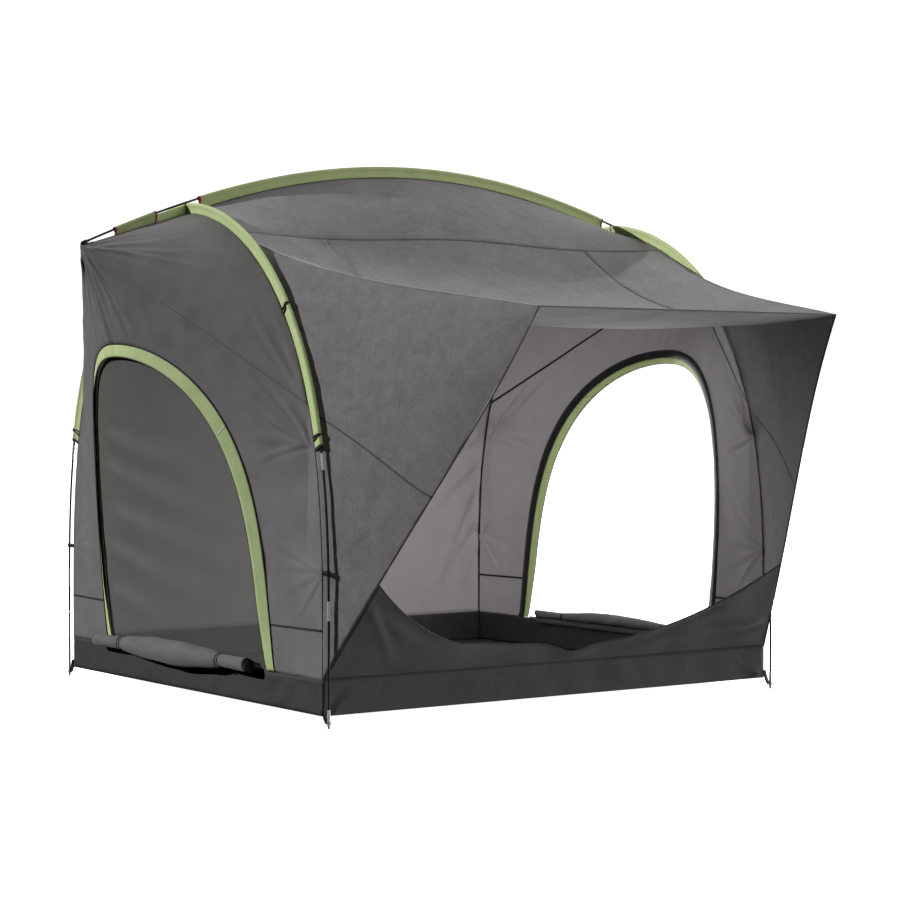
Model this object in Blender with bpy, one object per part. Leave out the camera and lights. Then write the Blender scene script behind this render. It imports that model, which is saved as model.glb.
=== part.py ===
# Tailgate tent: a standing tent that opens toward a parked car.
# Metres, +Z up. X runs along the open front, the open front faces -Y, and the ground is Z = 0.
# The origin is the centre of the groundsheet's underside.

import math

import bmesh
import bpy
import numpy as np

# Footprint and fabric
halfWidth = 1.15
halfDepth = 1.074
fabricThickness = 0.005
seamPull = 0.0002
rimHeight = 0.045
skirtTop = 0.186
floorRise = 0.43

# Side arches: a rounded curve above the spring height, plain verticals below it
springHeight = 0.345
seamApex = 2.055
poleApex = 2.093
poleOffset = 0.044
archPowerAcross = 1.83
archPowerUp = 2.83
legPointHeight = 1.25
roofSeamDepth = 0.37

# Ridge pole and the fabric ridge that hangs under it
ridgePoleTop = 2.3064
ridgePoleFall = 0.1573
ridgePoleFlare = 0.0043
ridgeFabricTop = 2.264
eaveReach = 1.648
eaveHeight = 1.896

# Hood over the open front
hoodHalfWidth = 0.749
hoodDepth = 1.911
hoodHeight = 1.615
hoodSeamX = 0.69
hoodSag = 0.055
hipControls = (1.732, 1.694)
hoodSeamControls = ((0.73, 1.645), (1.35, 1.545))
roofSeamWave = 0.011

# Lean of the side walls out to the eave corners
leanPower = 1.63
leanRounding = 0.25
wallBulge = 0.018

# Arched doorways in both side walls
doorHalfWidth = 0.72
doorTop = 1.505
trimWidth = 0.078
doorPowerAcross = 1.85
doorPowerUp = 3.4

# Lip across the bottom of the open front
lipShare = 0.25
lipMiddleHeight = 0.258
lipMiddleDepth = 1.10
lipPower = 2.2

# Poles, sleeves and the webbing that holds them
poleRadius = 0.00475
ferruleRadius = 0.0056
sleeveHole = 0.0057
sleeveRadius = 0.0078
finHalf = 0.0022
finEdgeHalf = 0.0004
finClear = 0.0033
sleeveEndHeight = 1.077
ferruleHeights = ((0.418, 0.494), (1.0, 1.064))
tipHeight = 0.074
clipHeights = (0.590, 0.615)
strapHeights = (0.008, 0.026)
strapHole = 0.0066
strapRadius = 0.0098
ridgeSleeveHalf = 1.09
eaveSleeveFrom = 1.30
eaveSleeveTo = 1.488
eaveCapFrom = 1.612
ridgePoleEnd = 1.640

# Rolled door flaps on the sills
leftRollSpan = (-0.595, 0.753)
leftRollHeight = 0.205
rightRollSpan = (-0.58, 0.62)
rollRadius = 0.047
rollEndRadius = 0.026
rollClear = 0.0006

# Grid counts
legSteps = 5
shoulderSteps = 5
crownSteps = 4
eaveSteps = 6
hoodSteps = 8
hoodSideSteps = 2
hoodMiddleSteps = 6
lipSteps = 8
wallSteps = 3
sillSteps = 6

insidePoint = np.array([0.0, -0.2, 1.0])


def clearScene():
    for item in list(bpy.data.objects):
        bpy.data.objects.remove(item, do_unlink=True)


def makeMaterial(name, colour, roughness, metallic=0.0):
    made = bpy.data.materials.new(name)
    made.use_nodes = True
    shader = made.node_tree.nodes["Principled BSDF"]
    shader.inputs["Base Color"].default_value = (*colour, 1.0)
    shader.inputs["Roughness"].default_value = roughness
    shader.inputs["Metallic"].default_value = metallic
    return made


def addObject(name, mesh, material):
    made = bpy.data.objects.new(name, mesh)
    made.data.materials.append(material)
    bpy.context.scene.collection.objects.link(made)
    return made


def finishMesh(name, mesh, material):
    """Object from a closed bmesh, with smooth round faces and sharp folds."""
    bmesh.ops.recalc_face_normals(mesh, faces=mesh.faces[:])
    data = bpy.data.meshes.new(name)
    mesh.to_mesh(data)
    mesh.free()
    data.shade_smooth()
    data.set_sharp_from_angle(angle=math.radians(50))
    addObject(name, data, material)


# Curves of the frame

def archDepth(z, base, apex):
    """Distance of an arch from the ridge plane at a height."""
    if z <= springHeight:
        return base
    share = (z - springHeight) / (apex - springHeight)
    return base * max(1.0 - share ** archPowerUp, 0.0) ** (1.0 / archPowerAcross)


def archAt(angle, base, apex):
    """Point (depth, height) on the rounded stretch of an arch, 0 at the spring and a quarter turn at the apex."""
    depth = base * math.cos(angle) ** (2.0 / archPowerAcross) if angle < math.pi / 2 else 0.0
    height = springHeight + (apex - springHeight) * math.sin(angle) ** (2.0 / archPowerUp)
    return depth, height


def angleAtHeight(z, apex):
    return math.asin(((z - springHeight) / (apex - springHeight)) ** (archPowerUp / 2.0))


def angleAtDepth(depth, base):
    return math.acos((depth / base) ** (archPowerAcross / 2.0))


def spaced(first, last, steps):
    return [first + (last - first) * i / steps for i in range(steps + 1)]


def seamLine(side, end, part):
    """Fabric seam under an arch: its leg, shoulder or crown, from the bottom up."""
    x = side * halfWidth
    if part == "leg":
        points = [(archDepth(z, halfDepth, seamApex), z) for z in spaced(skirtTop, legPointHeight, legSteps)]
    else:
        legAngle = angleAtHeight(legPointHeight, seamApex)
        roofAngle = angleAtDepth(roofSeamDepth, halfDepth)
        spans = {"shoulder": (legAngle, roofAngle, shoulderSteps), "crown": (roofAngle, math.pi / 2, crownSteps)}
        points = [archAt(angle, halfDepth, seamApex) for angle in spaced(*spans[part])]
    return np.array([(x, end * depth, z) for depth, z in points])


def eaveCorner(side):
    return np.array([side * eaveReach, 0.0, eaveHeight])


def hoodCorner(side):
    return np.array([side * hoodHalfWidth, -hoodDepth, hoodHeight])


def straight(first, last, steps):
    return np.array([np.asarray(first) + (np.asarray(last) - np.asarray(first)) * t for t in spaced(0, 1, steps)])


def bezier(a, b, c, d, steps):
    a, b, c, d = (np.asarray(p, dtype=float) for p in (a, b, c, d))
    return np.array([
        a * (1 - t) ** 3 + b * 3 * t * (1 - t) ** 2 + c * 3 * t * t * (1 - t) + d * t ** 3
        for t in spaced(0, 1, steps)
    ])


def roofColumns():
    """Places along X where the roof panels have grid lines."""
    outer = spaced(-halfWidth, -hoodSeamX, hoodSideSteps)
    middle = spaced(-hoodSeamX, hoodSeamX, hoodMiddleSteps)
    inner = spaced(hoodSeamX, halfWidth, hoodSideSteps)
    return outer[:-1] + middle + inner[1:]


def roofSeam(end):
    """Seam across the roof between the two arches, parallel to the ridge."""
    height = seamLine(1, end, "crown")[0][2]
    edge = math.cos(math.pi * halfWidth / hoodSeamX)
    return np.array([
        (x, end * roofSeamDepth, height + roofSeamWave * (math.cos(math.pi * x / hoodSeamX) - edge))
        for x in roofColumns()
    ])


def fabricRidge():
    fall = (ridgeFabricTop - seamApex) / halfWidth ** 2
    return np.array([(x, 0.0, ridgeFabricTop - fall * x * x) for x in roofColumns()])


def hipLine(side):
    start = seamLine(side, -1, "crown")[0]
    end = hoodCorner(side)
    plan = straight(start, end, 3)
    return bezier(start, (*plan[1][:2], hipControls[0]), (*plan[2][:2], hipControls[1]), end, hoodSteps)


def hoodSeamLine(side):
    column = hoodSideSteps if side < 0 else -1 - hoodSideSteps
    start = roofSeam(-1)[column]
    end = hoodCorner(side)
    plan = straight(start, end, 3)
    controls = [(plan[i + 1][0], -depth, z) for i, (depth, z) in enumerate(hoodSeamControls)]
    return bezier(start, *controls, end, hoodSteps)


def freeEdge(side):
    """Bound edge of the open front, from the top of the skirt to the hood's corner."""
    return straight((side * halfWidth, -halfDepth, skirtTop), hoodCorner(side), hoodSteps)


def lipEdge():
    side = freeEdge(1)[int(hoodSteps * lipShare)]
    points = []
    for x in spaced(-side[0], side[0], lipSteps):
        rise = abs(x / side[0]) ** lipPower
        points.append((x, -lipMiddleDepth + (side[1] + lipMiddleDepth) * rise,
                       lipMiddleHeight + (side[2] - lipMiddleHeight) * rise))
    return np.array(points)


def coons(bottom, top, left, right):
    """Grid of points filling four edge lines; left and right run from bottom to top."""
    rows, columns = len(left), len(bottom)
    grid = np.zeros((rows, columns, 3))
    for j in range(rows):
        v = j / (rows - 1)
        for i in range(columns):
            u = i / (columns - 1)
            corners = ((1 - u) * (1 - v) * bottom[0] + u * (1 - v) * bottom[-1]
                       + (1 - u) * v * top[0] + u * v * top[-1])
            grid[j, i] = ((1 - v) * bottom[i] + v * top[i] + (1 - u) * left[j] + u * right[j] - corners)
    return grid


# Side wall surface

def wallReach(y, z):
    """Distance of a side wall from the tent's middle plane."""
    corner = archDepth(legPointHeight, halfDepth, seamApex)
    across = min(abs(y) / corner, 1.0)
    top = eaveHeight - (eaveHeight - legPointHeight) * across
    share = min(max((z - skirtTop) / (top - skirtTop), 0.0), 1.0)
    soft = leanRounding * (1 - share)
    fade = (math.hypot(across, soft) - soft) / (math.hypot(1.0, soft) - soft)
    lean = (eaveReach - halfWidth) * (1 - fade) * share ** leanPower
    return halfWidth + lean + wallBulge * (1 - min(abs(y) / halfDepth, 1.0) ** 2) * math.sin(math.pi * share)


def doorOutline(inset):
    """Arched outline (y, z) of a doorway in even steps, from its rear foot over the top to its front foot."""
    half = doorHalfWidth - inset
    rise = doorTop - inset - skirtTop
    dense = []
    for angle in spaced(0, math.pi, 400):
        cosine = math.cos(angle)
        y = half * math.copysign(abs(cosine) ** (2 / doorPowerAcross), cosine)
        dense.append((y, skirtTop + rise * max(math.sin(angle), 0.0) ** (2 / doorPowerUp)))
    dense = np.array(dense)
    travel = np.concatenate([[0.0], np.cumsum(np.linalg.norm(np.diff(dense, axis=0), axis=1))])
    steps = spaced(0, travel[-1], 2 * (legSteps + eaveSteps))
    return [(float(np.interp(s, travel, dense[:, 0])), float(np.interp(s, travel, dense[:, 1]))) for s in steps]


def wallOutline(side):
    """Outer edge of a side wall from its rear foot over the eave corner to its front foot."""
    rear = seamLine(side, 1, "leg")
    front = seamLine(side, -1, "leg")
    rise = straight(rear[-1], eaveCorner(side), eaveSteps)
    fall = straight(eaveCorner(side), front[-1], eaveSteps)
    return np.vstack([rear, rise[1:], fall[1:], front[-2::-1]])


def onWall(side, y, z):
    return np.array([side * wallReach(y, z), y, z])


def wallGrid(side):
    outline = wallOutline(side)
    grid = []
    for (y, z), edge in zip(doorOutline(0.0), outline):
        row = [onWall(side, y + (edge[1] - y) * t, z + (edge[2] - z) * t) for t in spaced(0, 1, wallSteps)]
        row[-1] = edge
        grid.append(row)
    return np.array(grid)


def trimGrid(side):
    rings = zip(doorOutline(trimWidth), doorOutline(0.0))
    return np.array([[onWall(side, *inner), onWall(side, *outer)] for inner, outer in rings])


def doorGrid(side):
    outline = doorOutline(trimWidth)
    half = len(outline) // 2
    grid = []
    for i in range(half + 1):
        y, z = outline[i]
        grid.append([onWall(side, across, z) for across in spaced(y, -y, sillSteps)])
    return np.array(grid)


def skirtLine(side, height):
    """Points along a side of the base, from rear to front, that match the wall above."""
    inner = doorHalfWidth - trimWidth
    depths = (spaced(halfDepth, doorHalfWidth, wallSteps)
              + spaced(inner, -inner, sillSteps)
              + spaced(-doorHalfWidth, -halfDepth, wallSteps))
    return np.array([(side * halfWidth, y, height) for y in depths])


def baseLine(end, height):
    """Points along the front or rear of the base."""
    columns = spaced(-halfWidth, halfWidth, lipSteps) if end < 0 else roofColumns()
    return np.array([(x, end * halfDepth, height) for x in columns])


# Fabric panels as grids of points on their middle surface

def fabricGrids():
    grids = {}
    ridge = fabricRidge()
    columns = roofColumns()
    for end, word in ((-1, "front"), (1, "rear")):
        crowns = [seamLine(side, end, "crown") for side in (-1, 1)]
        grids["roof_" + word] = coons(roofSeam(end), ridge, *crowns)
    legs = [np.vstack([seamLine(side, 1, "leg"), seamLine(side, 1, "shoulder")[1:]]) for side in (-1, 1)]
    grids["rear_wall"] = coons(baseLine(1, skirtTop), roofSeam(1), *legs)

    hood = coons(roofSeam(-1)[hoodSideSteps:-hoodSideSteps],
                 straight(hoodCorner(-1), hoodCorner(1), hoodMiddleSteps), hoodSeamLine(-1), hoodSeamLine(1))
    for j in range(1, hoodSteps):
        v = j / hoodSteps
        for i in range(1, hoodMiddleSteps):
            u = 2 * i / hoodMiddleSteps - 1
            hood[j, i, 2] -= hoodSag * (1 - u * u) * 4 * v * (1 - v)
    grids["hood_centre"] = hood

    for side, word in ((-1, "left"), (1, "right")):
        corner = hoodCorner(side)
        eave = eaveCorner(side)
        reach = slice(0, hoodSideSteps + 1) if side < 0 else slice(-1, -2 - hoodSideSteps, -1)
        part = roofSeam(-1)[reach]
        grids["hood_" + word] = coons(part, np.array([corner] * len(part)), hipLine(side), hoodSeamLine(side))
        arch = np.vstack([seamLine(side, -1, "leg"), seamLine(side, -1, "shoulder")[1:]])
        grids["front_" + word + "_panel"] = coons(
            arch, np.array([corner] * len(arch)), freeEdge(side), hipLine(side))
        for end, place in ((-1, "front"), (1, "rear")):
            rib = np.vstack([seamLine(side, end, "shoulder"), seamLine(side, end, "crown")[1:]])
            grids[f"{word}_eave_{place}"] = coons(
                rib, np.array([eave] * len(rib)),
                straight(rib[0], eave, eaveSteps), straight(rib[-1], eave, eaveSteps))
        grids[word + "_wall"] = wallGrid(side)
        grids[word + "_door_trim"] = trimGrid(side)
        grids[word + "_skirt"] = np.array([skirtLine(side, rimHeight), skirtLine(side, skirtTop)])
    grids["left_door_mesh"] = doorGrid(-1)

    lipRows = int(hoodSteps * lipShare)
    sides = [freeEdge(side)[:lipRows + 1] for side in (-1, 1)]
    grids["front_lip"] = coons(baseLine(-1, skirtTop), lipEdge(), *sides)
    grids["front_skirt"] = np.array([baseLine(-1, rimHeight), baseLine(-1, skirtTop)])
    grids["rear_skirt"] = np.array([baseLine(1, rimHeight), baseLine(1, skirtTop)])
    grids["floor"] = floorGrid()
    return grids


def floorGrid():
    """Closed rings of the groundsheet, from the skirt's foot in to the part that lies on the ground."""
    left = skirtLine(-1, rimHeight)
    right = skirtLine(1, rimHeight)
    loop = np.vstack([baseLine(-1, rimHeight)[:-1], right[::-1][:-1], baseLine(1, rimHeight)[::-1][:-1], left])
    rings = []
    for share in spaced(0, 1, 2):
        ring = loop.copy()
        ring[:, 0] *= 1 - share * floorRise / halfWidth
        ring[:, 1] *= 1 - share * floorRise / halfDepth
        ring[:, 2] = fabricThickness / 2 + (rimHeight - fabricThickness / 2) * (1 - share) ** 1.5
        rings.append(ring)
    return np.array(rings)


class Panel:
    """One piece of fabric: welded points and outward faces of its middle surface."""

    def __init__(self, name, grid):
        self.name = name
        self.points = []
        self.faces = []
        known = {}
        rows, columns = grid.shape[:2]
        index = np.zeros((rows, columns), dtype=int)
        for j in range(rows):
            for i in range(columns):
                key = pointKey(grid[j, i])
                if key not in known:
                    known[key] = len(self.points)
                    self.points.append(grid[j, i])
                index[j, i] = known[key]
        for j in range(rows - 1):
            for i in range(columns - 1):
                corners = [index[j, i], index[j, i + 1], index[j + 1, i + 1], index[j + 1, i]]
                self.addFace([c for k, c in enumerate(corners) if c != corners[k - 1]])
        if name == "floor":
            self.faces.append([int(c) for c in index[-1][:-1]])
        self.turnOutward()

    def addFace(self, face):
        """Adds a face of the grid. One with four corners is not flat, so it is split at its shorter diagonal."""
        if len(face) == 3:
            self.faces.append(face)
        elif len(face) == 4:
            a, b, c, d = face
            first = np.linalg.norm(self.points[a] - self.points[c])
            second = np.linalg.norm(self.points[b] - self.points[d])
            self.faces += [[a, b, c], [a, c, d]] if first <= second else [[a, b, d], [b, c, d]]

    def faceNormal(self, face):
        p = [self.points[c] for c in face]
        total = np.zeros(3)
        for k in range(len(p)):
            total += np.cross(p[k - 1], p[k])
        return total / 2

    def turnOutward(self):
        total = sum(self.faceNormal(face) for face in self.faces)
        middle = sum(self.points) / len(self.points)
        if np.dot(total, middle - insidePoint) < 0:
            self.faces = [face[::-1] for face in self.faces]

    def cornerNormals(self):
        """Unit face normals weighted by the angle each face takes up at a point."""
        for face in self.faces:
            normal = self.faceNormal(face)
            normal = normal / np.linalg.norm(normal)
            for k, c in enumerate(face):
                before = self.points[face[k - 1]] - self.points[c]
                after = self.points[face[(k + 1) % len(face)]] - self.points[c]
                cosine = np.dot(before, after) / (np.linalg.norm(before) * np.linalg.norm(after))
                yield c, normal * math.acos(max(-1.0, min(1.0, cosine)))

    def edgeList(self):
        """Edges that belong to one face only, with that face."""
        uses = {}
        for face in self.faces:
            for k, c in enumerate(face):
                pair = (face[k - 1], c)
                uses.setdefault(tuple(sorted(pair)), []).append((pair, face))
        return [found[0] for found in uses.values() if len(found) == 1]

    def pulledPoints(self):
        """Points with the rim drawn in, so that neighbours along a seam do not touch."""
        inward = {}
        for (first, last), face in self.edgeList():
            along = self.points[last] - self.points[first]
            direction = np.cross(self.faceNormal(face), along)
            direction /= np.linalg.norm(direction)
            inward.setdefault(first, []).append(direction)
            inward.setdefault(last, []).append(direction)
        pulled = list(self.points)
        for c, (one, other) in inward.items():
            share = max(1.0 + np.dot(one, other), 0.03)
            pulled[c] = self.points[c] + seamPull * (one + other) / share
        return pulled


def pointKey(point):
    return tuple(int(round(float(v) * 20000)) for v in point)


def buildFabric(materials):
    """Shells of all panels, each thickened along normals that neighbours share."""
    panels = [Panel(name, grid) for name, grid in fabricGrids().items()]
    normals = {}
    for panel in panels:
        for c, weighted in panel.cornerNormals():
            key = pointKey(panel.points[c])
            normals[key] = normals.get(key, np.zeros(3)) + weighted
    for panel in panels:
        pulled = panel.pulledPoints()
        outer, inner = [], []
        mesh = bmesh.new()
        for point, place in zip(panel.points, pulled):
            normal = normals[pointKey(point)]
            offset = normal / np.linalg.norm(normal) * fabricThickness / 2
            outer.append(mesh.verts.new(place + offset))
            inner.append(mesh.verts.new(place - offset))
        for face in panel.faces:
            mesh.faces.new([outer[c] for c in face])
            mesh.faces.new([inner[c] for c in reversed(face)])
        for (first, last), face in panel.edgeList():
            one, other = sorted((first, last), key=lambda c: pointKey(panel.points[c]))
            mesh.faces.new([outer[one], outer[other], inner[other]])
            mesh.faces.new([outer[one], inner[other], inner[one]])
        finishMesh(panel.name, mesh, materials[fabricMaterial(panel.name)])
    return normals


def fabricMaterial(name):
    if name.endswith("trim"):
        return "lime_fabric"
    if name.endswith("door_mesh"):
        return "screen_mesh"
    if name.endswith("skirt") or name in ("front_lip", "floor"):
        return "tub_fabric"
    return "grey_fabric"


# Poles

def ridgePoleHeight(x):
    return ridgePoleTop - ridgePoleFall * x * x + ridgePoleFlare * x ** 4


def archPolePoint(side, end, z):
    return np.array([side * halfWidth, end * archDepth(z, halfDepth + poleOffset, poleApex), z])


def sleeveAngles():
    """Stations of an arch sleeve: its lower end, then every grid line of the fabric along the arch."""
    low = angleAtHeight(sleeveEndHeight, seamApex)
    legAngle = angleAtHeight(legPointHeight, seamApex)
    roofAngle = angleAtDepth(roofSeamDepth, halfDepth)
    return ([low] + spaced(legAngle, roofAngle, shoulderSteps)
            + spaced(roofAngle, math.pi / 2, crownSteps)[1:])


def sleevePolePoints(side, end):
    points = [archAt(angle, halfDepth + poleOffset, poleApex) for angle in sleeveAngles()]
    return np.array([(side * halfWidth, end * depth, z) for depth, z in points])


def legStations():
    """Heights along a bare leg with the pole's radius there."""
    step = 0.0004
    stations = [(0.0, ferruleRadius), (tipHeight, ferruleRadius), (tipHeight + step, poleRadius)]
    stations += [(springHeight, poleRadius)]
    for low, high in ferruleHeights:
        stations += [(low, poleRadius), (low + step, ferruleRadius), (high - step, ferruleRadius), (high, poleRadius)]
    stations += [(z, poleRadius) for z in clipHeights]
    stations += [(0.72, poleRadius), (0.86, poleRadius)]
    return sorted(stations)


def poleObject(name, points, radii, material):
    data = bpy.data.curves.new(name, "CURVE")
    data.dimensions = "3D"
    data.bevel_depth = poleRadius
    data.bevel_resolution = 1
    data.use_fill_caps = True
    spline = data.splines.new("POLY")
    spline.points.add(len(points) - 1)
    for item, point, radius in zip(spline.points, points, radii):
        item.co = (*point, 1.0)
        item.radius = radius / poleRadius
    return addObject(name, data, material)


def buildPoles(materials):
    for side, word in ((-1, "left"), (1, "right")):
        halves = []
        for end in (-1, 1):
            points = [archPolePoint(side, end, z) for z, radius in legStations()]
            radii = [radius for z, radius in legStations()]
            crown = list(sleevePolePoints(side, end))
            halves.append((points + crown, radii + [poleRadius] * len(crown)))
        points = halves[0][0] + halves[1][0][-2::-1]
        radii = halves[0][1] + halves[1][1][-2::-1]
        poleObject(word + "_arch_pole", points, radii, materials["pole_black"])
    stations = ridgeStations()
    points = [(x, 0.0, ridgePoleHeight(x)) for x in stations]
    poleObject("ridge_pole", points, [poleRadius] * len(points), materials["pole_black"])


def ridgeSleeveStations():
    return [-ridgeSleeveHalf] + roofColumns()[1:-1] + [ridgeSleeveHalf]


def ridgeStations():
    middle = ridgeSleeveStations()
    eave = spaced(eaveSleeveFrom, eaveSleeveTo, 3) + [eaveCapFrom, ridgePoleEnd]
    return [-x for x in reversed(eave)] + [-halfWidth] + middle + [halfWidth] + eave


# Sleeves, clips and straps: a ring around a pole with a flat web down to the fabric

def ringAngles(count):
    return [math.radians(360.0 * k / count) for k in range(count)]


def webbedRing(name, poleLine, footLine, lateral, hole, radius, material, endTangent=None):
    """Closed solid along a pole, open at both ends for it, with a web that runs down to the foot line."""
    lateral = np.asarray(lateral, dtype=float)
    tangents = np.gradient(np.array(poleLine), axis=0)
    if endTangent is not None:
        tangents[-1] = endTangent
    mesh = bmesh.new()
    outerRings, innerRings = [], []
    for pole, foot, tangent in zip(poleLine, footLine, tangents):
        out = pole - foot
        out = out - tangent * np.dot(out, tangent) / np.dot(tangent, tangent)
        out = out / np.linalg.norm(out)
        outline = [(math.cos(math.radians(a)) * radius, math.sin(math.radians(a)) * radius)
                   for a in (-135, -90, -45, 0, 45, 90, 135)]
        bore = [(math.cos(a) * hole, math.sin(a) * hole) for a in ringAngles(8)]
        shoulder = pole - out * radius * 1.7
        ring = [pole + out * r + lateral * s for r, s in outline]
        ring += [shoulder + lateral * finHalf, foot + lateral * finEdgeHalf]
        ring += [foot - lateral * finEdgeHalf, shoulder - lateral * finHalf]
        outerRings.append([mesh.verts.new(point) for point in ring])
        innerRings.append([mesh.verts.new(pole + out * r + lateral * s) for r, s in bore])
    for rings in (outerRings, innerRings):
        for one, other in zip(rings, rings[1:]):
            for k in range(len(one)):
                mesh.faces.new([one[k - 1], one[k], other[k], other[k - 1]])
    for outer, inner in ((outerRings[0], innerRings[0]), (outerRings[-1], innerRings[-1])):
        mesh.faces.new([outer[1], outer[2], outer[3], outer[4], outer[5],
                        inner[2], inner[1], inner[0], inner[7], inner[6]])
        mesh.faces.new(outer[5:] + [outer[0], outer[1], inner[6], inner[5], inner[4], inner[3], inner[2]])
    finishMesh(name, mesh, material)


def fabricRidgeHeight(x):
    """Height of the fabric ridge: its grid line between the arches, straight from each arch to its eave corner."""
    if abs(x) <= halfWidth:
        ridge = fabricRidge()
        return float(np.interp(x, ridge[:, 0], ridge[:, 2]))
    return seamApex + (eaveHeight - seamApex) * (abs(x) - halfWidth) / (eaveReach - halfWidth)


def ridgeLines(stations):
    poleLine = [np.array([x, 0.0, ridgePoleHeight(x)]) for x in stations]
    footLine = [np.array([x, 0.0, fabricRidgeHeight(x) + finClear]) for x in stations]
    return poleLine, footLine


def archFoot(side, end, heights, normals):
    """Points just over the fabric seam under an arch at the given heights."""
    seam = np.vstack([seamLine(side, end, "leg"), seamLine(side, end, "shoulder")[1:],
                      seamLine(side, end, "crown")[1:]])
    facing = np.array([normals[pointKey(point)] for point in seam])
    facing /= np.linalg.norm(facing, axis=1)[:, None]
    places = seam + facing * finClear
    return [np.array([np.interp(z, seam[:, 2], places[:, k]) for k in range(3)]) for z in heights]


def buildSleeves(materials, normals):
    lime = materials["lime_fabric"]
    webbing = materials["webbing_black"]
    across = (1.0, 0.0, 0.0)
    seamHeights = [archAt(angle, halfDepth, seamApex)[1] for angle in sleeveAngles()]
    for side, word in ((-1, "left"), (1, "right")):
        for end, place in ((-1, "front"), (1, "rear")):
            poleLine = sleevePolePoints(side, end)
            footLine = archFoot(side, end, seamHeights, normals)
            poleLine[-1][1] = end * seamPull
            footLine[-1][1] = end * seamPull
            webbedRing(f"{word}_arch_sleeve_{place}", poleLine, footLine, across, sleeveHole, sleeveRadius, lime,
                       endTangent=np.array([0.0, 1.0, 0.0]))
            clipPole = [archPolePoint(side, end, z) for z in clipHeights]
            webbedRing(f"{place}_{word}_leg_clip", clipPole, archFoot(side, end, clipHeights, normals), across,
                       sleeveHole, sleeveRadius, webbing)
            strapPole = [archPolePoint(side, end, z) for z in strapHeights]
            strapFoot = [np.array([side * halfWidth, end * (halfDepth + finClear), z + rimHeight - strapHeights[0]])
                         for z in strapHeights]
            webbedRing(f"{place}_{word}_foot_strap", strapPole, strapFoot, across, strapHole, strapRadius, webbing)
    along = (0.0, 1.0, 0.0)
    middle = ridgeLines(ridgeSleeveStations())
    webbedRing("ridge_sleeve_centre", *middle, along, sleeveHole, sleeveRadius, lime)
    for side, word in ((-1, "left"), (1, "right")):
        eave = ridgeLines([side * x for x in spaced(eaveSleeveFrom, eaveSleeveTo, 3)])
        webbedRing("ridge_sleeve_" + word, *eave, along, sleeveHole, sleeveRadius, lime)
        cap = ridgeLines([side * x for x in (eaveCapFrom, ridgePoleEnd)])
        webbedRing(word + "_eave_cap", *cap, along, sleeveHole, sleeveRadius, webbing)


# Rolled door flaps

def besideDoor(height):
    """Distance of a roll's middle that lets it lean on the closed door above the sill."""
    heights = [z for y, z in doorOutline(trimWidth) if y >= 0]
    reaches = [wallReach(0.0, z) for z in heights]
    touching = max(np.interp(height + rollRadius * math.sin(a), heights, reaches) + rollRadius * math.cos(a)
                   for a in ringAngles(72))
    return touching + fabricThickness / 2 + rollClear


def buildRoll(name, centre, height, span, material):
    mesh = bmesh.new()
    rings = []
    for share in spaced(0, 1, 12):
        y = span[0] + (span[1] - span[0]) * share
        radius = rollEndRadius + (rollRadius - rollEndRadius) * math.sin(math.pi * share) ** 0.5
        rings.append([mesh.verts.new((centre + radius * math.cos(a), y, height + radius * math.sin(a)))
                      for a in ringAngles(12)])
    for one, other in zip(rings, rings[1:]):
        for k in range(len(one)):
            mesh.faces.new([one[k - 1], one[k], other[k], other[k - 1]])
    mesh.faces.new(rings[0])
    mesh.faces.new(rings[-1])
    finishMesh(name, mesh, material)


def build():
    clearScene()
    materials = {
        "grey_fabric": makeMaterial("grey_fabric", (0.14, 0.135, 0.137), 0.85),
        "tub_fabric": makeMaterial("tub_fabric", (0.04, 0.038, 0.039), 0.8),
        "lime_fabric": makeMaterial("lime_fabric", (0.33, 0.42, 0.16), 0.8),
        "screen_mesh": makeMaterial("screen_mesh", (0.06, 0.06, 0.06), 0.7),
        "pole_black": makeMaterial("pole_black", (0.02, 0.02, 0.02), 0.35),
        "webbing_black": makeMaterial("webbing_black", (0.025, 0.025, 0.025), 0.8),
    }
    normals = buildFabric(materials)
    buildPoles(materials)
    buildSleeves(materials, normals)
    grey = materials["grey_fabric"]
    buildRoll("left_door_roll", -besideDoor(leftRollHeight), leftRollHeight, leftRollSpan, grey)
    buildRoll("right_door_roll", halfWidth, skirtTop + rollRadius + rollClear, rightRollSpan, grey)


build()
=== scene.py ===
import math

import bmesh
import bpy
import numpy as np
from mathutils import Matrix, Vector


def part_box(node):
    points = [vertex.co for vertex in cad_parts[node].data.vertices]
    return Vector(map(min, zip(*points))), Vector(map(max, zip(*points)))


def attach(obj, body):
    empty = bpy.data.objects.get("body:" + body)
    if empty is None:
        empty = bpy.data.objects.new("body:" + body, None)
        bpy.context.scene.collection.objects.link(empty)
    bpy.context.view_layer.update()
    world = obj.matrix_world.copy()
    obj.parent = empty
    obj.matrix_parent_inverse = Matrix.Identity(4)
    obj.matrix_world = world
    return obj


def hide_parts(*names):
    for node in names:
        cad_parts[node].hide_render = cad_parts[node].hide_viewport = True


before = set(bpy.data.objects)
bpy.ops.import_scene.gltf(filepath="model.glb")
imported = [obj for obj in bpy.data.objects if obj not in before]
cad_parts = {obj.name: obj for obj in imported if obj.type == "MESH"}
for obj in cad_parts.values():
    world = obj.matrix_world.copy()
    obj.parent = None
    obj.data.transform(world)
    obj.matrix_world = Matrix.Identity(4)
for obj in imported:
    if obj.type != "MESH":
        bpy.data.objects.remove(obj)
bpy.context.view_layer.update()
scene = bpy.context.scene
insidePoint = np.array([0.0, -0.2, 1.0])

# Metres. X runs along the open front, which faces -Y, and the ground is Z = 0.

camera = {"place": (-6.118, -8.977, 1.264), "yaw": 0.614, "pitch": -0.02, "lens": 96.47, "sensor": 36.0}

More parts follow.
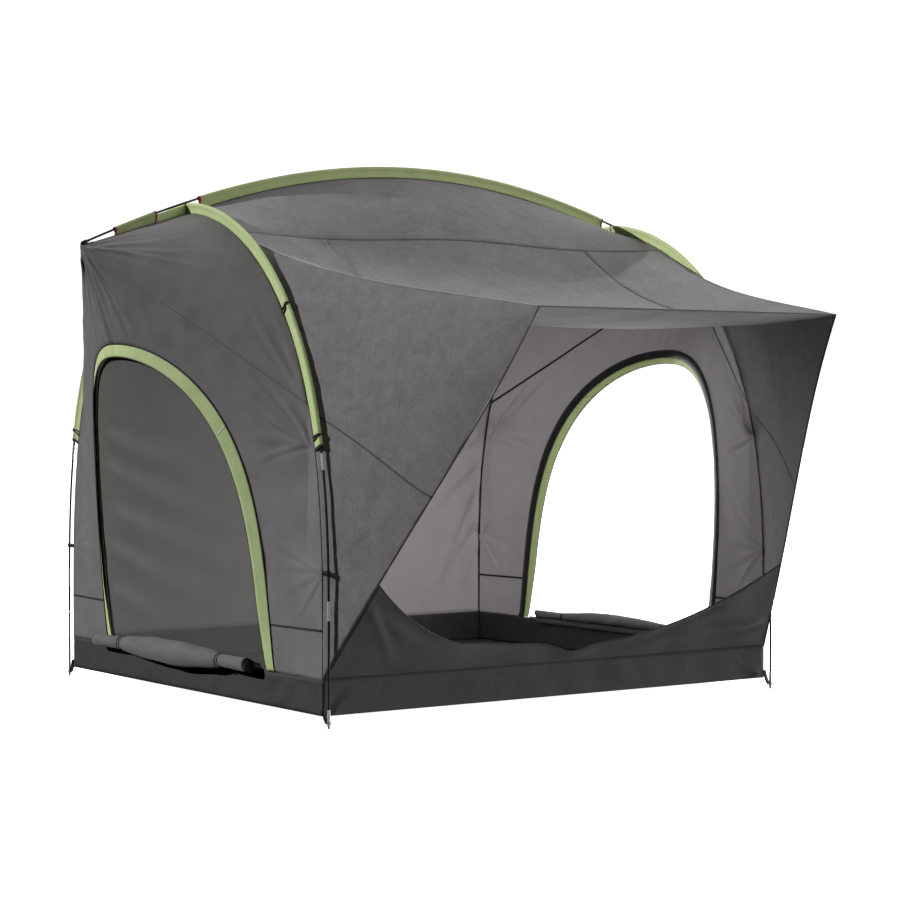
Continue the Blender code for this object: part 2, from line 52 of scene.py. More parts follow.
cameraData = bpy.data.cameras.new("camera")
cameraData.lens = camera["lens"]
cameraData.sensor_width = camera["sensor"]
cameraObject = bpy.data.objects.new("camera", cameraData)
cameraObject.location = camera["place"]
cameraObject.rotation_euler = (math.pi / 2 + camera["pitch"], 0.0, -camera["yaw"])
scene.collection.objects.link(cameraObject)
scene.camera = cameraObject


# Materials

def hexColour(code):
    parts = [int(code[i:i + 2], 16) / 255 for i in (0, 2, 4)]
    return [c / 12.92 if c <= 0.04045 else ((c + 0.055) / 1.055) ** 2.4 for c in parts] + [1.0]


def addNode(tree, kind, settings=None, values=None, links=None):
    node = tree.nodes.new(kind)
    for key, value in (settings or {}).items():
        setattr(node, key, value)
    for key, value in (values or {}).items():
        node.inputs[key].default_value = value
    for key, source in (links or {}).items():
        tree.links.new(source, node.inputs[key])
    return node


def emptyMaterial(name):
    made = bpy.data.materials.new(name)
    made.use_nodes = True
    made.node_tree.nodes.clear()
    return made, made.node_tree


def noiseOf(tree, vector, size, detail, roughness=0.5, distortion=0.0):
    noise = addNode(tree, "ShaderNodeTexNoise", None,
                    {"Scale": 1 / size, "Detail": detail, "Roughness": roughness, "Distortion": distortion},
                    {"Vector": vector})
    return noise.outputs["Fac"]


def crossedThreads(tree, place, operation, spacing):
    # Threads along the cloth's width and length; waveUnit is the width of a band at scale 1
    waves = [addNode(tree, "ShaderNodeTexWave", {"bands_direction": direction}, {"Scale": waveUnit / spacing},
                     {"Vector": place.outputs["UV"]}) for direction in "XY"]
    both = addNode(tree, "ShaderNodeMath", {"operation": operation}, None,
                   {0: waves[0].outputs["Fac"], 1: waves[1].outputs["Fac"]})
    return both.outputs["Value"]


def shadeRamp(tree, shade, look, ends=(0.0, 1.0)):
    ramp = addNode(tree, "ShaderNodeValToRGB", None, None, {"Fac": shade})
    for element, position, tone in zip(ramp.color_ramp.elements, ends, ("dark", "light")):
        element.position = position
        element.color = hexColour(look[tone])
    return ramp.outputs["Color"]


def finishWith(tree, surface):
    addNode(tree, "ShaderNodeOutputMaterial", None, None, {"Surface": surface})


def mottle(tree, place, look):
    # Blotches of dye and slubs of thicker yarn, mixed to one shade of the cloth
    blotch = noiseOf(tree, place.outputs["Object"], look["blotch"], 4.0, 0.6)
    slub = noiseOf(tree, place.outputs["Object"], look["slub"], 2.0)
    both = addNode(tree, "ShaderNodeMix", {"data_type": "FLOAT"}, {"Factor": look["slubShare"]},
                   {"A": blotch, "B": slub})
    return shadeRamp(tree, both.outputs["Result"], look, (0.36, 0.64))


def weaveBump(tree, place, look):
    # Threads on the cloth's own length and width, over small creases
    fine = addNode(tree, "ShaderNodeBump", None, {"Strength": look["threadDepth"], "Distance": 0.0004},
                   {"Height": crossedThreads(tree, place, "MULTIPLY", look["thread"])})
    creases = noiseOf(tree, place.outputs["Object"], look["crinkle"], 3.0, 0.55, 0.6)
    bump = addNode(tree, "ShaderNodeBump", None, {"Strength": look["crinkleDepth"], "Distance": 0.004},
                   {"Height": creases, "Normal": fine.outputs["Normal"]})
    return bump.outputs["Normal"]


def wovenCloth(name, look):
    made, tree = emptyMaterial(name)
    place = addNode(tree, "ShaderNodeTexCoord")
    bump = weaveBump(tree, place, look)
    face = addNode(tree, "ShaderNodeBsdfPrincipled", None,
                   {"Roughness": look["roughness"], "Sheen Weight": look["sheen"], "Sheen Roughness": 0.5,
                    "Specular IOR Level": look["gloss"]},
                   {"Base Color": mottle(tree, place, look), "Normal": bump})
    surface = face.outputs["BSDF"]
    if look["glow"] > 0:
        through = addNode(tree, "ShaderNodeBsdfTranslucent", None, {"Color": hexColour(look["through"])},
                          {"Normal": bump})
        mixed = addNode(tree, "ShaderNodeMixShader", None, {"Fac": look["glow"]},
                        {1: surface, 2: through.outputs["BSDF"]})
        surface = mixed.outputs["Shader"]
    finishWith(tree, surface)
    return made


def solidFinish(name, look):
    # Poles, fittings and moulded parts: one colour, with a slight change of roughness along the grain
    made, tree = emptyMaterial(name)
    place = addNode(tree, "ShaderNodeTexCoord")
    stretch = addNode(tree, "ShaderNodeMapping", None, {"Scale": look["stretch"]},
                      {"Vector": place.outputs["Object"]})
    grain = noiseOf(tree, stretch.outputs["Vector"], look["grain"], 3.0)
    rough = addNode(tree, "ShaderNodeMapRange", None,
                    {"To Min": look["roughness"] - 0.06, "To Max": look["roughness"] + 0.08},
                    {"Value": grain})
    bump = addNode(tree, "ShaderNodeBump", None, {"Strength": look["depth"], "Distance": 0.0005},
                   {"Height": grain})
    face = addNode(tree, "ShaderNodeBsdfPrincipled", None,
                   {"Metallic": look["metallic"], "Specular IOR Level": look["gloss"]},
                   {"Base Color": shadeRamp(tree, grain, look), "Roughness": rough.outputs["Result"],
                    "Normal": bump.outputs["Normal"]})
    finishWith(tree, face.outputs["BSDF"])
    return made


def netting(name, look):
    # Knitted insect net: dark threads with see-through holes, drawn coarser than the real 1 mm holes
    made, tree = emptyMaterial(name)
    place = addNode(tree, "ShaderNodeTexCoord")
    cover = addNode(tree, "ShaderNodeMapRange", None,
                    {"To Min": look["holeCover"], "To Max": look["threadCover"]},
                    {"Value": crossedThreads(tree, place, "MAXIMUM", look["hole"])})
    face = addNode(tree, "ShaderNodeBsdfPrincipled", None,
                   {"Base Color": hexColour(look["colour"]), "Roughness": 0.75, "Sheen Weight": 0.1},
                   {"Alpha": cover.outputs["Result"]})
    finishWith(tree, face.outputs["BSDF"])
    return made


waveUnit = 0.314

# Polyester taffeta with heathered yarn: soft, mottled, lets light glow through.
# Its threads are 0.4 mm, drawn at 2 mm.
heatherLook = {"dark": "777475", "light": "8c898a", "through": "b8b5b6", "blotch": 0.05, "slub": 0.011,
               "slubShare": 0.5, "thread": 0.002, "threadDepth": 0.25, "crinkle": 0.05, "crinkleDepth": 0.22,
               "roughness": 0.82, "sheen": 0.12, "gloss": 0.25, "glow": 0.18}
# The same cloth in a plain dye, for the walls and eaves
plainLook = dict(heatherLook, dark="7b7879", light="868384", slubShare=0.2, blotch=0.12, crinkleDepth=0.28,
                 glow=0.34)
# Coated polyester of the groundsheet tub: dark, slightly glossy, lets no light through
tubLook = dict(heatherLook, dark="373536", light="3e3b3c", glow=0.0, roughness=0.65, gloss=0.2, sheen=0.02,
               blotch=0.15, crinkle=0.035, crinkleDepth=0.3)
# Lime polyester binding cloth of the sleeves and door trims, its selvedge pale; the ridge sleeves' copy is
# painted darker, as painted shade for the ridge sleeve's front that faces away from the light
limeLook = dict(heatherLook, dark="bdcf90", light="cadaa0", through="d4e3a8", glow=0.08, blotch=0.08,
                slubShare=0.3, crinkleDepth=0.2)
# Darker copy of the lime for the ridge sleeves: painted shade
limeRidgeShadeLook = dict(limeLook, dark="a0b078", light="acb984")
limePaleLook = dict(limeLook, dark="e6f0d0", light="eff6dc")
# Polyester webbing and piping tape, woven in ribs
webbingLook = dict(heatherLook, dark="151414", light="1e1d1d", glow=0.0, roughness=0.7, gloss=0.3,
                   thread=0.003, threadDepth=0.5, blotch=0.03, crinkleDepth=0.1)
# Red nylon edge binding
redLook = dict(webbingLook, dark="861a1e", light="a02528")
# Grey seam tape in the tent's own cloth, seen edge-on with its stitching, and a paler one, which is the
# threshold's tape and, along the hip folds, a painted highlight
seamLook = dict(heatherLook, dark="565455", light="625f60", glow=0.2, crinkleDepth=0.1)
paleTapeAndHighlightLook = dict(heatherLook, dark="9b9898", light="aba8a8", glow=0.2, crinkleDepth=0.1)
# Glass-fibre rod, pultruded and lacquered black
rodLook = {"dark": "0e0e0e", "light": "181818", "stretch": (1.0, 1.0, 0.2), "grain": 0.01, "roughness": 0.45,
           "depth": 0.05, "metallic": 0.0, "gloss": 0.25}
# Drawn aluminium ferrule tube, satin; aluminium's own light grey, made lighter and less metallic as a painted
# highlight so it stays bright out of the light
ferruleHighlightLook = {"dark": "b4b5b6", "light": "d4d5d6", "stretch": (1.0, 1.0, 0.1), "grain": 0.004,
               "roughness": 0.32, "depth": 0.05, "metallic": 0.3, "gloss": 0.5}
# Moulded black nylon hooks and caps
nylonLook = {"dark": "0e0e0e", "light": "171717", "stretch": (1.0, 1.0, 1.0), "grain": 0.004,
             "roughness": 0.5, "depth": 0.1, "metallic": 0.0, "gloss": 0.3}
# Insect net, with its holes at 4 mm
netLook = {"colour": "545552", "hole": 0.004, "holeCover": 0.22, "threadCover": 0.5}

finishes = {
    "heather": (wovenCloth("heatheredGreyTaffeta", heatherLook), "grey_fabric"),
    "plain": (wovenCloth("plainGreyTaffeta", plainLook), "grey_fabric"),
    "tub": (wovenCloth("coatedTubPolyester", tubLook), "tub_fabric"),
    "lime": (wovenCloth("limePolyester", limeLook), "lime_fabric"),
    "limePaintedShade": (wovenCloth("limeRidgeShadedPolyester", limeRidgeShadeLook), "lime_fabric"),
    "limePale": (wovenCloth("limeSelvedge", limePaleLook), "lime_fabric"),
    "net": (netting("insectNet", netLook), "screen_mesh"),
    "webbing": (wovenCloth("blackWebbing", webbingLook), "webbing_black"),
    "red": (wovenCloth("redBinding", redLook), "webbing_black"),
    "seam": (wovenCloth("greySeamTape", seamLook), "grey_fabric"),
    "paleTapeAndHighlight": (wovenCloth("paleSeamTapeAndHighlight", paleTapeAndHighlightLook), "grey_fabric"),
    "rod": (solidFinish("blackGlassFibre", rodLook), "pole_black"),
    "ferrule": (solidFinish("satinAluminiumPaintedHighlight", ferruleHighlightLook), "pole_black"),
    "nylon": (solidFinish("mouldedNylon", nylonLook), "webbing_black"),
}
print("materials done")


# Lines of the frame and of the seams: each takes shares from 0 to 1 and gives points

def unit(vectors):
    return vectors / np.maximum(np.linalg.norm(vectors, axis=-1, keepdims=True), 1e-9)


tent = {
    "halfWidth": 1.15, "halfDepth": 1.074, "rimHeight": 0.045, "skirtTop": 0.186, "floorRise": 0.43,
    "floorHeight": 0.0025,
    "springHeight": 0.345, "seamApex": 2.055, "poleApex": 2.093, "poleOffset": 0.044,
    "archAcross": 1.83, "archUp": 2.83, "legPoint": 1.25, "roofSeamDepth": 0.37,
    "ridgePoleTop": 2.3064, "ridgePoleFall": 0.1573, "ridgePoleFlare": 0.0043, "ridgeTop": 2.264,
    "eaveReach": 1.648, "eaveHeight": 1.905, "hoodHalfWidth": 0.749, "hoodDepth": 1.930, "hoodHeight": 1.615,
    "hoodSeamX": 0.69, "hoodSag": 0.055, "hipControls": (1.732, 1.694),
    "hoodSeamControls": ((0.73, 1.645), (1.35, 1.545)), "roofSeamWave": 0.011,
    "leanPower": 1.63, "leanRounding": 0.25, "wallBulge": 0.034, "bulgeLow": 0.6, "edgeBow": 0.025,
    "edgePower": 2.2,
    "doorHalfWidth": 0.72, "doorTop": 1.505, "trimWidth": 0.055,
    "trimLift": 0.020, "trimFoot": (0.3, 0.25), "netInset": 0.030, "doorAcross": 2.1, "doorUp": 3.4,
    "lipShare": 0.265, "lipHeight": 0.250, "lipDepth": 1.10, "lipPowers": (3.0, 2.35), "lipDepthPower": 2.2,
    "lipBuckle": {"rise": (0.022, -0.27, 0.22), "dip": (0.024, 0.06, 0.075)},
}
leftRight = ((-1, "left"), (1, "right"))
frontRear = ((-1, "front"), (1, "rear"))
halfWidth = tent["halfWidth"]
halfDepth = tent["halfDepth"]
skirtTop = tent["skirtTop"]
spring = tent["springHeight"]
# Depth at the foot and height of the apex, of the cloth's seam and of the pole outside it
seamArch = (halfDepth, tent["seamApex"])
poleArch = (halfDepth + tent["poleOffset"], tent["poleApex"])


def archDepth(z, base, apex):
    share = np.clip((z - spring) / (apex - spring), 0.0, 1.0)
    return base * np.maximum(1.0 - share ** tent["archUp"], 0.0) ** (1.0 / tent["archAcross"])


def archAt(angle, base, apex):
    depth = base * np.maximum(np.cos(angle), 0.0) ** (2.0 / tent["archAcross"])
    return depth, spring + (apex - spring) * np.sin(angle) ** (2.0 / tent["archUp"])


def archAngle(z):
    return math.asin(((z - spring) / (tent["seamApex"] - spring)) ** (tent["archUp"] / 2.0))


def onArch(side, end, depth, z):
    return np.stack([np.full_like(z, side * halfWidth), end * depth, z], axis=-1)


def overRidge(x, z):
    return np.stack([x, np.zeros_like(x), z], axis=-1)


legAngle = archAngle(tent["legPoint"])
roofAngle = math.acos((tent["roofSeamDepth"] / halfDepth) ** (tent["archAcross"] / 2.0))
archSpans = {"shoulder": (legAngle, roofAngle), "crown": (roofAngle, math.pi / 2)}


def seamPath(side, end, stretch):
    def path(t):
        if stretch == "leg":
            z = skirtTop + (tent["legPoint"] - skirtTop) * t
            depth = archDepth(z, *seamArch)
        else:
            first, last = archSpans[stretch]
            depth, z = archAt(first + (last - first) * t, *seamArch)
        return onArch(side, end, depth, z)
    return path


def joined(first, second, share):
    def path(t):
        low = first(np.minimum(t / share, 1.0))
        high = second(np.clip((t - share) / (1.0 - share), 0.0, 1.0))
        return np.where((t < share)[:, None], low, high)
    return path


def straightPath(first, last):
    first = np.array(first, dtype=float)
    last = np.array(last, dtype=float)
    return lambda t: first + (last - first) * t[:, None]


def bezierPath(a, b, c, d):
    a, b, c, d = (np.array(p, dtype=float) for p in (a, b, c, d))

    def path(t):
        t = t[:, None]
        return a * (1 - t) ** 3 + b * 3 * t * (1 - t) ** 2 + c * 3 * t * t * (1 - t) + d * t ** 3
    return path


def partOf(path, first, last):
    return lambda t: path(first + (last - first) * t)


def eaveCorner(side):
    return np.array([side * tent["eaveReach"], 0.0, tent["eaveHeight"]])


def hoodCorner(side):
    return np.array([side * tent["hoodHalfWidth"], -tent["hoodDepth"], tent["hoodHeight"]])


def legAndShoulder(side, end):
    return joined(seamPath(side, end, "leg"), seamPath(side, end, "shoulder"), 0.5)


def ribPath(side, end):
    return joined(seamPath(side, end, "shoulder"), seamPath(side, end, "crown"), 5 / 9)


def roofSeamPath(end, fromX, toX):
    height = archAt(np.array([roofAngle]), *seamArch)[1][0]
    edge = math.cos(math.pi * halfWidth / tent["hoodSeamX"])

    def path(t):
        x = fromX + (toX - fromX) * t
        z = height + tent["roofSeamWave"] * (np.cos(math.pi * x / tent["hoodSeamX"]) - edge)
        return np.stack([x, np.full_like(x, end * tent["roofSeamDepth"]), z], axis=-1)
    return path


def ridgeLine(x):
    inside = tent["ridgeTop"] - (tent["ridgeTop"] - tent["seamApex"]) / halfWidth ** 2 * x * x
    share = (np.abs(x) - halfWidth) / (tent["eaveReach"] - halfWidth)
    outside = tent["seamApex"] + (tent["eaveHeight"] - tent["seamApex"]) * share
    return np.where(np.abs(x) <= halfWidth, inside, outside)


def ridgePath(t):
    x = -halfWidth + 2 * halfWidth * t
    return overRidge(x, ridgeLine(x))


def hipPath(side):
    start = seamPath(side, -1, "crown")(np.array([0.0]))[0]
    end = hoodCorner(side)
    low, high = tent["hipControls"]
    one = start + (end - start) / 3
    two = start + (end - start) * 2 / 3
    return bezierPath(start, (one[0], one[1], low), (two[0], two[1], high), end)


def hoodSeamPath(side):
    start = roofSeamPath(-1, side * tent["hoodSeamX"], 0.0)(np.array([0.0]))[0]
    end = hoodCorner(side)
    controls = [(start[0] + (end[0] - start[0]) * (i + 1) / 3, -depth, z)
                for i, (depth, z) in enumerate(tent["hoodSeamControls"])]
    return bezierPath(start, *controls, end)


def freeEdgePath(side):
    # Bound edge of the open front, bowed a little toward the middle of the opening
    line = straightPath((side * halfWidth, -halfDepth, skirtTop), hoodCorner(side))

    def path(t):
        bow = np.zeros((len(t), 3))
        bow[:, 0] = side * tent["edgeBow"] * np.sin(math.pi * t ** tent["edgePower"])
        return line(t) - bow
    return path


def lipPath(t):
    # Upper edge of the tub's front lip: it sags, and buckles a little near the middle
    side = freeEdgePath(1)(np.array([tent["lipShare"]]))[0]
    across = 2 * t - 1
    depth = -tent["lipDepth"] + (side[1] + tent["lipDepth"]) * np.abs(across) ** tent["lipDepthPower"]
    power = np.where(across < 0, tent["lipPowers"][0], tent["lipPowers"][1])
    z = tent["lipHeight"] + (side[2] - tent["lipHeight"]) * np.abs(across) ** power
    rise, riseAt, riseWidth = tent["lipBuckle"]["rise"]
    dip, dipAt, dipWidth = tent["lipBuckle"]["dip"]
    z = z + rise * np.exp(-((across - riseAt) / riseWidth) ** 4)
    z = z - dip * np.exp(-((across - dipAt) / dipWidth) ** 2)
    return np.stack([side[0] * across, depth, z], axis=-1)


def wallReach(y, z):
    corner = archDepth(np.array(tent["legPoint"]), *seamArch)
    across = np.minimum(np.abs(y) / corner, 1.0)
    top = tent["eaveHeight"] - (tent["eaveHeight"] - tent["legPoint"]) * across
    share = np.clip((z - skirtTop) / (top - skirtTop), 0.0, 1.0)
    soft = tent["leanRounding"] * (1 - share)
    fade = (np.hypot(across, soft) - soft) / (np.hypot(1.0, soft) - soft)
    lean = (tent["eaveReach"] - halfWidth) * (1 - fade) * share ** tent["leanPower"]
    bulge = tent["wallBulge"] * (1 - np.minimum(np.abs(y) / halfDepth, 1.0) ** 2)
    bulge = bulge * np.sin(math.pi * share ** tent["bulgeLow"])
    return halfWidth + lean + bulge


def doorOutline(inset):
    half = tent["doorHalfWidth"] - inset
    rise = tent["doorTop"] - inset - skirtTop
    angle = np.linspace(0, math.pi, 1200)
    y = half * np.sign(np.cos(angle)) * np.abs(np.cos(angle)) ** (2 / tent["doorAcross"])
    z = skirtTop + rise * np.maximum(np.sin(angle), 0.0) ** (2 / tent["doorUp"])
    travel = np.concatenate([[0.0], np.cumsum(np.hypot(np.diff(y), np.diff(z)))])
    return lambda t: (np.interp(t * travel[-1], travel, y), np.interp(t * travel[-1], travel, z))


def onWall(side, y, z):
    return np.stack([side * wallReach(y, z), y, z], axis=-1)


def wallFacing(side, line):
    y = line[:, 1]
    z = line[:, 2]
    step = 0.002
    dy = (wallReach(y + step, z) - wallReach(y - step, z)) / (2 * step)
    dz = (wallReach(y, z + step) - wallReach(y, z - step)) / (2 * step)
    return unit(np.stack([np.full_like(y, float(side)), -dy, -dz], axis=-1))


def trimLift(side, z, share):
    # The trim stands off the wall toward its inner edge, less at its feet
    foot, height = tent["trimFoot"]
    rise = np.clip((z - skirtTop) / height, 0.0, 1.0)
    lift = np.zeros((len(z), 3))
    lift[:, 0] = side * tent["trimLift"] * share * (foot + (1 - foot) * rise)
    return lift


def doorPath(side, inset):
    outline = doorOutline(inset)
    return lambda t: onWall(side, *outline(t))


def wallOutline(side):
    rear = seamPath(side, 1, "leg")
    front = partOf(seamPath(side, -1, "leg"), 1.0, 0.0)
    top = eaveCorner(side)
    rise = straightPath(rear(np.array([1.0]))[0], top)
    fall = straightPath(top, front(np.array([0.0]))[0])
    return joined(joined(rear, rise, 5 / 11), joined(fall, front, 6 / 11), 0.5)


# Cloth grids: rows and columns of points

cellSize = 0.012
cells = {"panel": 0.016, "eave": 0.014, "rear": 0.020, "roll": 0.020, "floor": 0.04}
# Lengths that set the cell counts of the walls, trims and screen
spans = {"wallOutline": 4.6, "wallBand": 0.85, "trim": 3.8, "screenSide": 1.9, "screenFoot": 1.3}


def lengthOf(points):
    return float(np.linalg.norm(np.diff(points, axis=0), axis=1).sum())


def cellCount(length, step=1, cell=cellSize):
    return max(step, int(math.ceil(length / cell / step)) * step)


def coonsGrid(bottom, top, left, right, columnStep=1, cell=cells["panel"]):
    # Smooth surface between four edges; the column count is a multiple of columnStep
    probe = np.linspace(0, 1, 90)
    columns = cellCount(max(lengthOf(bottom(probe)), lengthOf(top(probe))), columnStep, cell)
    rows = cellCount(max(lengthOf(left(probe)), lengthOf(right(probe))), 1, cell)
    u = np.linspace(0, 1, columns + 1)
    v = np.linspace(0, 1, rows + 1)
    b, t, l, r = bottom(u), top(u), left(v), right(v)
    u = u[None, :, None]
    v = v[:, None, None]
    corners = (1 - u) * (1 - v) * b[0] + u * (1 - v) * b[-1] + (1 - u) * v * t[0] + u * v * t[-1]
    return (1 - v) * b[None] + v * t[None] + (1 - u) * l[:, None] + u * r[:, None] - corners


def bandGrid(low, high):
    # Flat band between two pairs of points
    return coonsGrid(straightPath(low[0], low[1]), straightPath(high[0], high[1]),
                     straightPath(low[0], high[0]), straightPath(low[1], high[1]))


def pointPath(point):
    return lambda t: np.repeat(np.array(point, dtype=float)[None], len(t), axis=0)


def roofGrid(end):
    return coonsGrid(roofSeamPath(end, -halfWidth, halfWidth), ridgePath,
                     seamPath(-1, end, "crown"), seamPath(1, end, "crown"))


def hoodCentreGrid():
    seam = tent["hoodSeamX"]
    grid = coonsGrid(roofSeamPath(-1, -seam, seam), straightPath(hoodCorner(-1), hoodCorner(1)),
                     hoodSeamPath(-1), hoodSeamPath(1))
    rows, columns = grid.shape[:2]
    v = np.linspace(0, 1, rows)[:, None]
    u = np.linspace(-1, 1, columns)[None]
    grid[:, :, 2] -= tent["hoodSag"] * (1 - u * u) * 4 * v * (1 - v)
    return grid


def hoodSideGrid(side):
    seam = roofSeamPath(-1, side * halfWidth, side * tent["hoodSeamX"])
    return coonsGrid(seam, pointPath(hoodCorner(side)), hipPath(side), hoodSeamPath(side))


def frontPanelGrid(side):
    corner = pointPath(hoodCorner(side))
    return coonsGrid(legAndShoulder(side, -1), corner, freeEdgePath(side), hipPath(side), 2)


def eaveGrid(side, end):
    rib = ribPath(side, end)
    ends = rib(np.array([0.0, 1.0]))
    corner = eaveCorner(side)
    return coonsGrid(rib, pointPath(corner), straightPath(ends[0], corner), straightPath(ends[1], corner), 9,
                     cells["eave"])


def rearWallGrid():
    base = straightPath((-halfWidth, halfDepth, skirtTop), (halfWidth, halfDepth, skirtTop))
    top = roofSeamPath(1, -halfWidth, halfWidth)
    return coonsGrid(base, top, legAndShoulder(-1, 1), legAndShoulder(1, 1), 1, cells["rear"])


# Columns around a doorway meet the wall's corners, which lie at 22nds of its outline
doorStep = 22


def wallGrid(side):
    # From the doorway's edge out to the wall's seams
    count = cellCount(spans["wallOutline"], doorStep)
    t = np.linspace(0, 1, count + 1)
    y, z = doorOutline(0.0)(t)
    edge = wallOutline(side)(t)
    rows = cellCount(spans["wallBand"])
    grid = np.zeros((rows + 1, count + 1, 3))
    for j, share in enumerate(np.linspace(0, 1, rows + 1)):
        across = y + (edge[:, 1] - y) * share
        height = z + (edge[:, 2] - z) * share
        miss = side * edge[:, 0] - wallReach(edge[:, 1], edge[:, 2])
        grid[j] = onWall(side, across, height)
        grid[j, :, 0] += side * miss * share ** 4
    return grid


def trimGrid(side):
    t = np.linspace(0, 1, cellCount(spans["trim"], doorStep) + 1)
    inner = doorOutline(tent["trimWidth"])(t)
    outer = doorOutline(0.0)(t)
    rows = []
    for share in np.linspace(0, 1, 7):
        row = onWall(side, inner[0] + (outer[0] - inner[0]) * share, inner[1] + (outer[1] - inner[1]) * share)
        rows.append(row + trimLift(side, row[:, 2], 1 - share))
    return np.array(rows)


def doorGrid(side):
    t = np.linspace(0, 0.5, cellCount(spans["screenSide"], 1, cells["panel"]) + 1)
    y, z = doorOutline(tent["netInset"])(t)
    u = np.linspace(1, -1, cellCount(spans["screenFoot"], 1, cells["panel"]) + 1)
    return np.array([onWall(side, y[j] * u, np.full_like(u, z[j])) for j in range(len(t))])


def skirtGrid(first, last):
    # Upright band of the tub between two of its corners
    low, high = ([(x, y, z) for x, y in (first, last)] for z in (tent["rimHeight"], skirtTop))
    return bandGrid(low, high)


def sideSkirtGrid(side):
    return skirtGrid((side * halfWidth, halfDepth), (side * halfWidth, -halfDepth))


def endSkirtGrid(end):
    return skirtGrid((-halfWidth, end * halfDepth), (halfWidth, end * halfDepth))


def lipGrid():
    base = straightPath((-halfWidth, -halfDepth, skirtTop), (halfWidth, -halfDepth, skirtTop))
    sides = [partOf(freeEdgePath(side), 0.0, tent["lipShare"]) for side in (-1, 1)]
    return coonsGrid(base, lipPath, *sides)


def floorGrid():
    # Flat on the ground, it curves up to the tub's rim
    x = np.linspace(-halfWidth, halfWidth, cellCount(2 * halfWidth, 1, cells["floor"]) + 1)
    y = np.linspace(-halfDepth, halfDepth, cellCount(2 * halfDepth, 1, cells["floor"]) + 1)
    x, y = np.meshgrid(x, y)
    inward = np.minimum((halfWidth - np.abs(x)) / halfWidth, (halfDepth - np.abs(y)) / halfDepth)
    share = np.clip(inward * halfWidth / tent["floorRise"], 0.0, 1.0)
    z = tent["floorHeight"] + (tent["rimHeight"] - tent["floorHeight"]) * (1 - share) ** 1.5
    return np.stack([x, y, z], axis=-1)


# Folds: heights added along a cloth's normal

def gridNormals(grid):
    alongRows = np.gradient(grid, axis=0)
    alongColumns = np.gradient(grid, axis=1)
    normals = np.cross(alongColumns, alongRows)
    flat = np.linalg.norm(normals, axis=-1) < 1e-9
    normals = unit(normals)
    if flat.any():
        average = unit(normals[~flat].mean(axis=0))
        normals[flat] = average
    if np.sum(normals.mean(axis=(0, 1)) * (grid.mean(axis=(0, 1)) - insidePoint)) < 0:
        normals = -normals
    return normals


def edgeDistance(grid):
    # Distance of each point from the nearest seam, along the rows and the columns
    steps = np.linalg.norm(np.diff(grid, axis=1), axis=-1)
    left = np.concatenate([np.zeros((grid.shape[0], 1)), np.cumsum(steps, axis=1)], axis=1)
    right = left[:, -1:] - left
    steps = np.linalg.norm(np.diff(grid, axis=0), axis=-1)
    low = np.concatenate([np.zeros((1, grid.shape[1])), np.cumsum(steps, axis=0)], axis=0)
    high = low[-1:] - low
    return left, low, np.minimum(np.minimum(left, right), np.minimum(low, high))


def ridges(phase, sharp):
    return np.exp(-sharp * np.sin(phase / 2) ** 2) - 0.45 / (1 + 0.4 * sharp)


def laidOnCloth(grid, normals, at, way):
    # Each point's distance along a way that is laid flat on the cloth, and its distance across it
    facing = unit(normals.mean(axis=(0, 1)))
    along = unit(way - facing * np.dot(way, facing))
    across = np.cross(facing, along)
    return (grid - at) @ along, (grid - at) @ across


def fanFolds(grid, normals, fold):
    # Creases that run out from one tight spot, toward one side of it
    centre = np.array(fold["at"])
    forward, across = laidOnCloth(grid, normals, centre, np.array(fold["toward"]) - centre)
    radius = np.hypot(forward, across)
    theta = np.arctan2(across, forward)
    rng = np.random.default_rng(fold["seed"])
    spread = math.radians(fold["spread"])
    total = np.zeros_like(theta)
    for _ in range(4):
        waves = fold["creases"] * rng.uniform(0.55, 1.5) * math.pi / spread
        drift = 0.5 * np.sin(radius * rng.uniform(3, 9) + rng.uniform(0, 6))
        total += ridges(waves * theta + drift + rng.uniform(0, 6.28), fold["sharp"]) * rng.uniform(0.5, 1.0)
    window = np.exp(-(theta / spread) ** 2)
    near = radius / (radius + 0.07)
    return fold["height"] * total / 2 * window * near * np.exp(-(radius / fold["reach"]) ** 2)


def longFolds(grid, normals, fold):
    # Drape folds side by side along one direction
    a, c = laidOnCloth(grid, normals, np.array(fold["at"]), np.array(fold["along"], dtype=float))
    rng = np.random.default_rng(fold["seed"])
    total = np.zeros_like(a)
    for _ in range(4):
        spacing = fold["spacing"] * rng.uniform(0.7, 1.6)
        tilt = rng.uniform(-0.16, 0.16)
        drift = 0.7 * np.sin(a * rng.uniform(2, 6) + rng.uniform(0, 6))
        total += ridges((c + tilt * a) * 2 * math.pi / spacing + drift + rng.uniform(0, 6.28), fold["sharp"])
    window = np.exp(-(a / fold["long"]) ** 2 - (c / fold["wide"]) ** 2)
    return fold["height"] * total / 2 * window


def softWaves(grid, slack):
    # Faint slack all over a panel
    rng = np.random.default_rng(slack["seed"])
    total = np.zeros(grid.shape[:2])
    for _ in range(14):
        direction = unit(rng.normal(size=3))
        length = slack["length"] * rng.uniform(0.5, 2.2)
        wave = np.sin(grid @ direction * 2 * math.pi / length + rng.uniform(0, 6.28))
        total += wave * (length / slack["length"]) ** 0.7
    return slack["height"] * total / 3.0


def rayFold(grid, normals, fold):
    # One crease with a hollow beside it: it starts sharply at a tie point, then widens and fades
    facing = unit(normals.mean(axis=(0, 1)))
    first = np.array(fold["from"], dtype=float)
    span = np.array(fold["to"], dtype=float) - first
    span = span - facing * np.dot(span, facing)
    length = np.linalg.norm(span)
    across = np.cross(facing, span / length)
    along = (grid - first) @ span / length ** 2
    away = (grid - first) @ across - fold["bow"] * length * 4 * along * (1 - along)
    wide = fold["width"] * (0.5 + 0.5 * np.clip(along, 0, 1))
    shape = np.exp(-(away / wide) ** 2) - 0.7 * np.exp(-(away / wide - 1.5) ** 2)
    return fold["height"] * shape * np.clip(along / 0.08, 0, 1) * np.clip(1 - along, 0, 1) ** 0.8


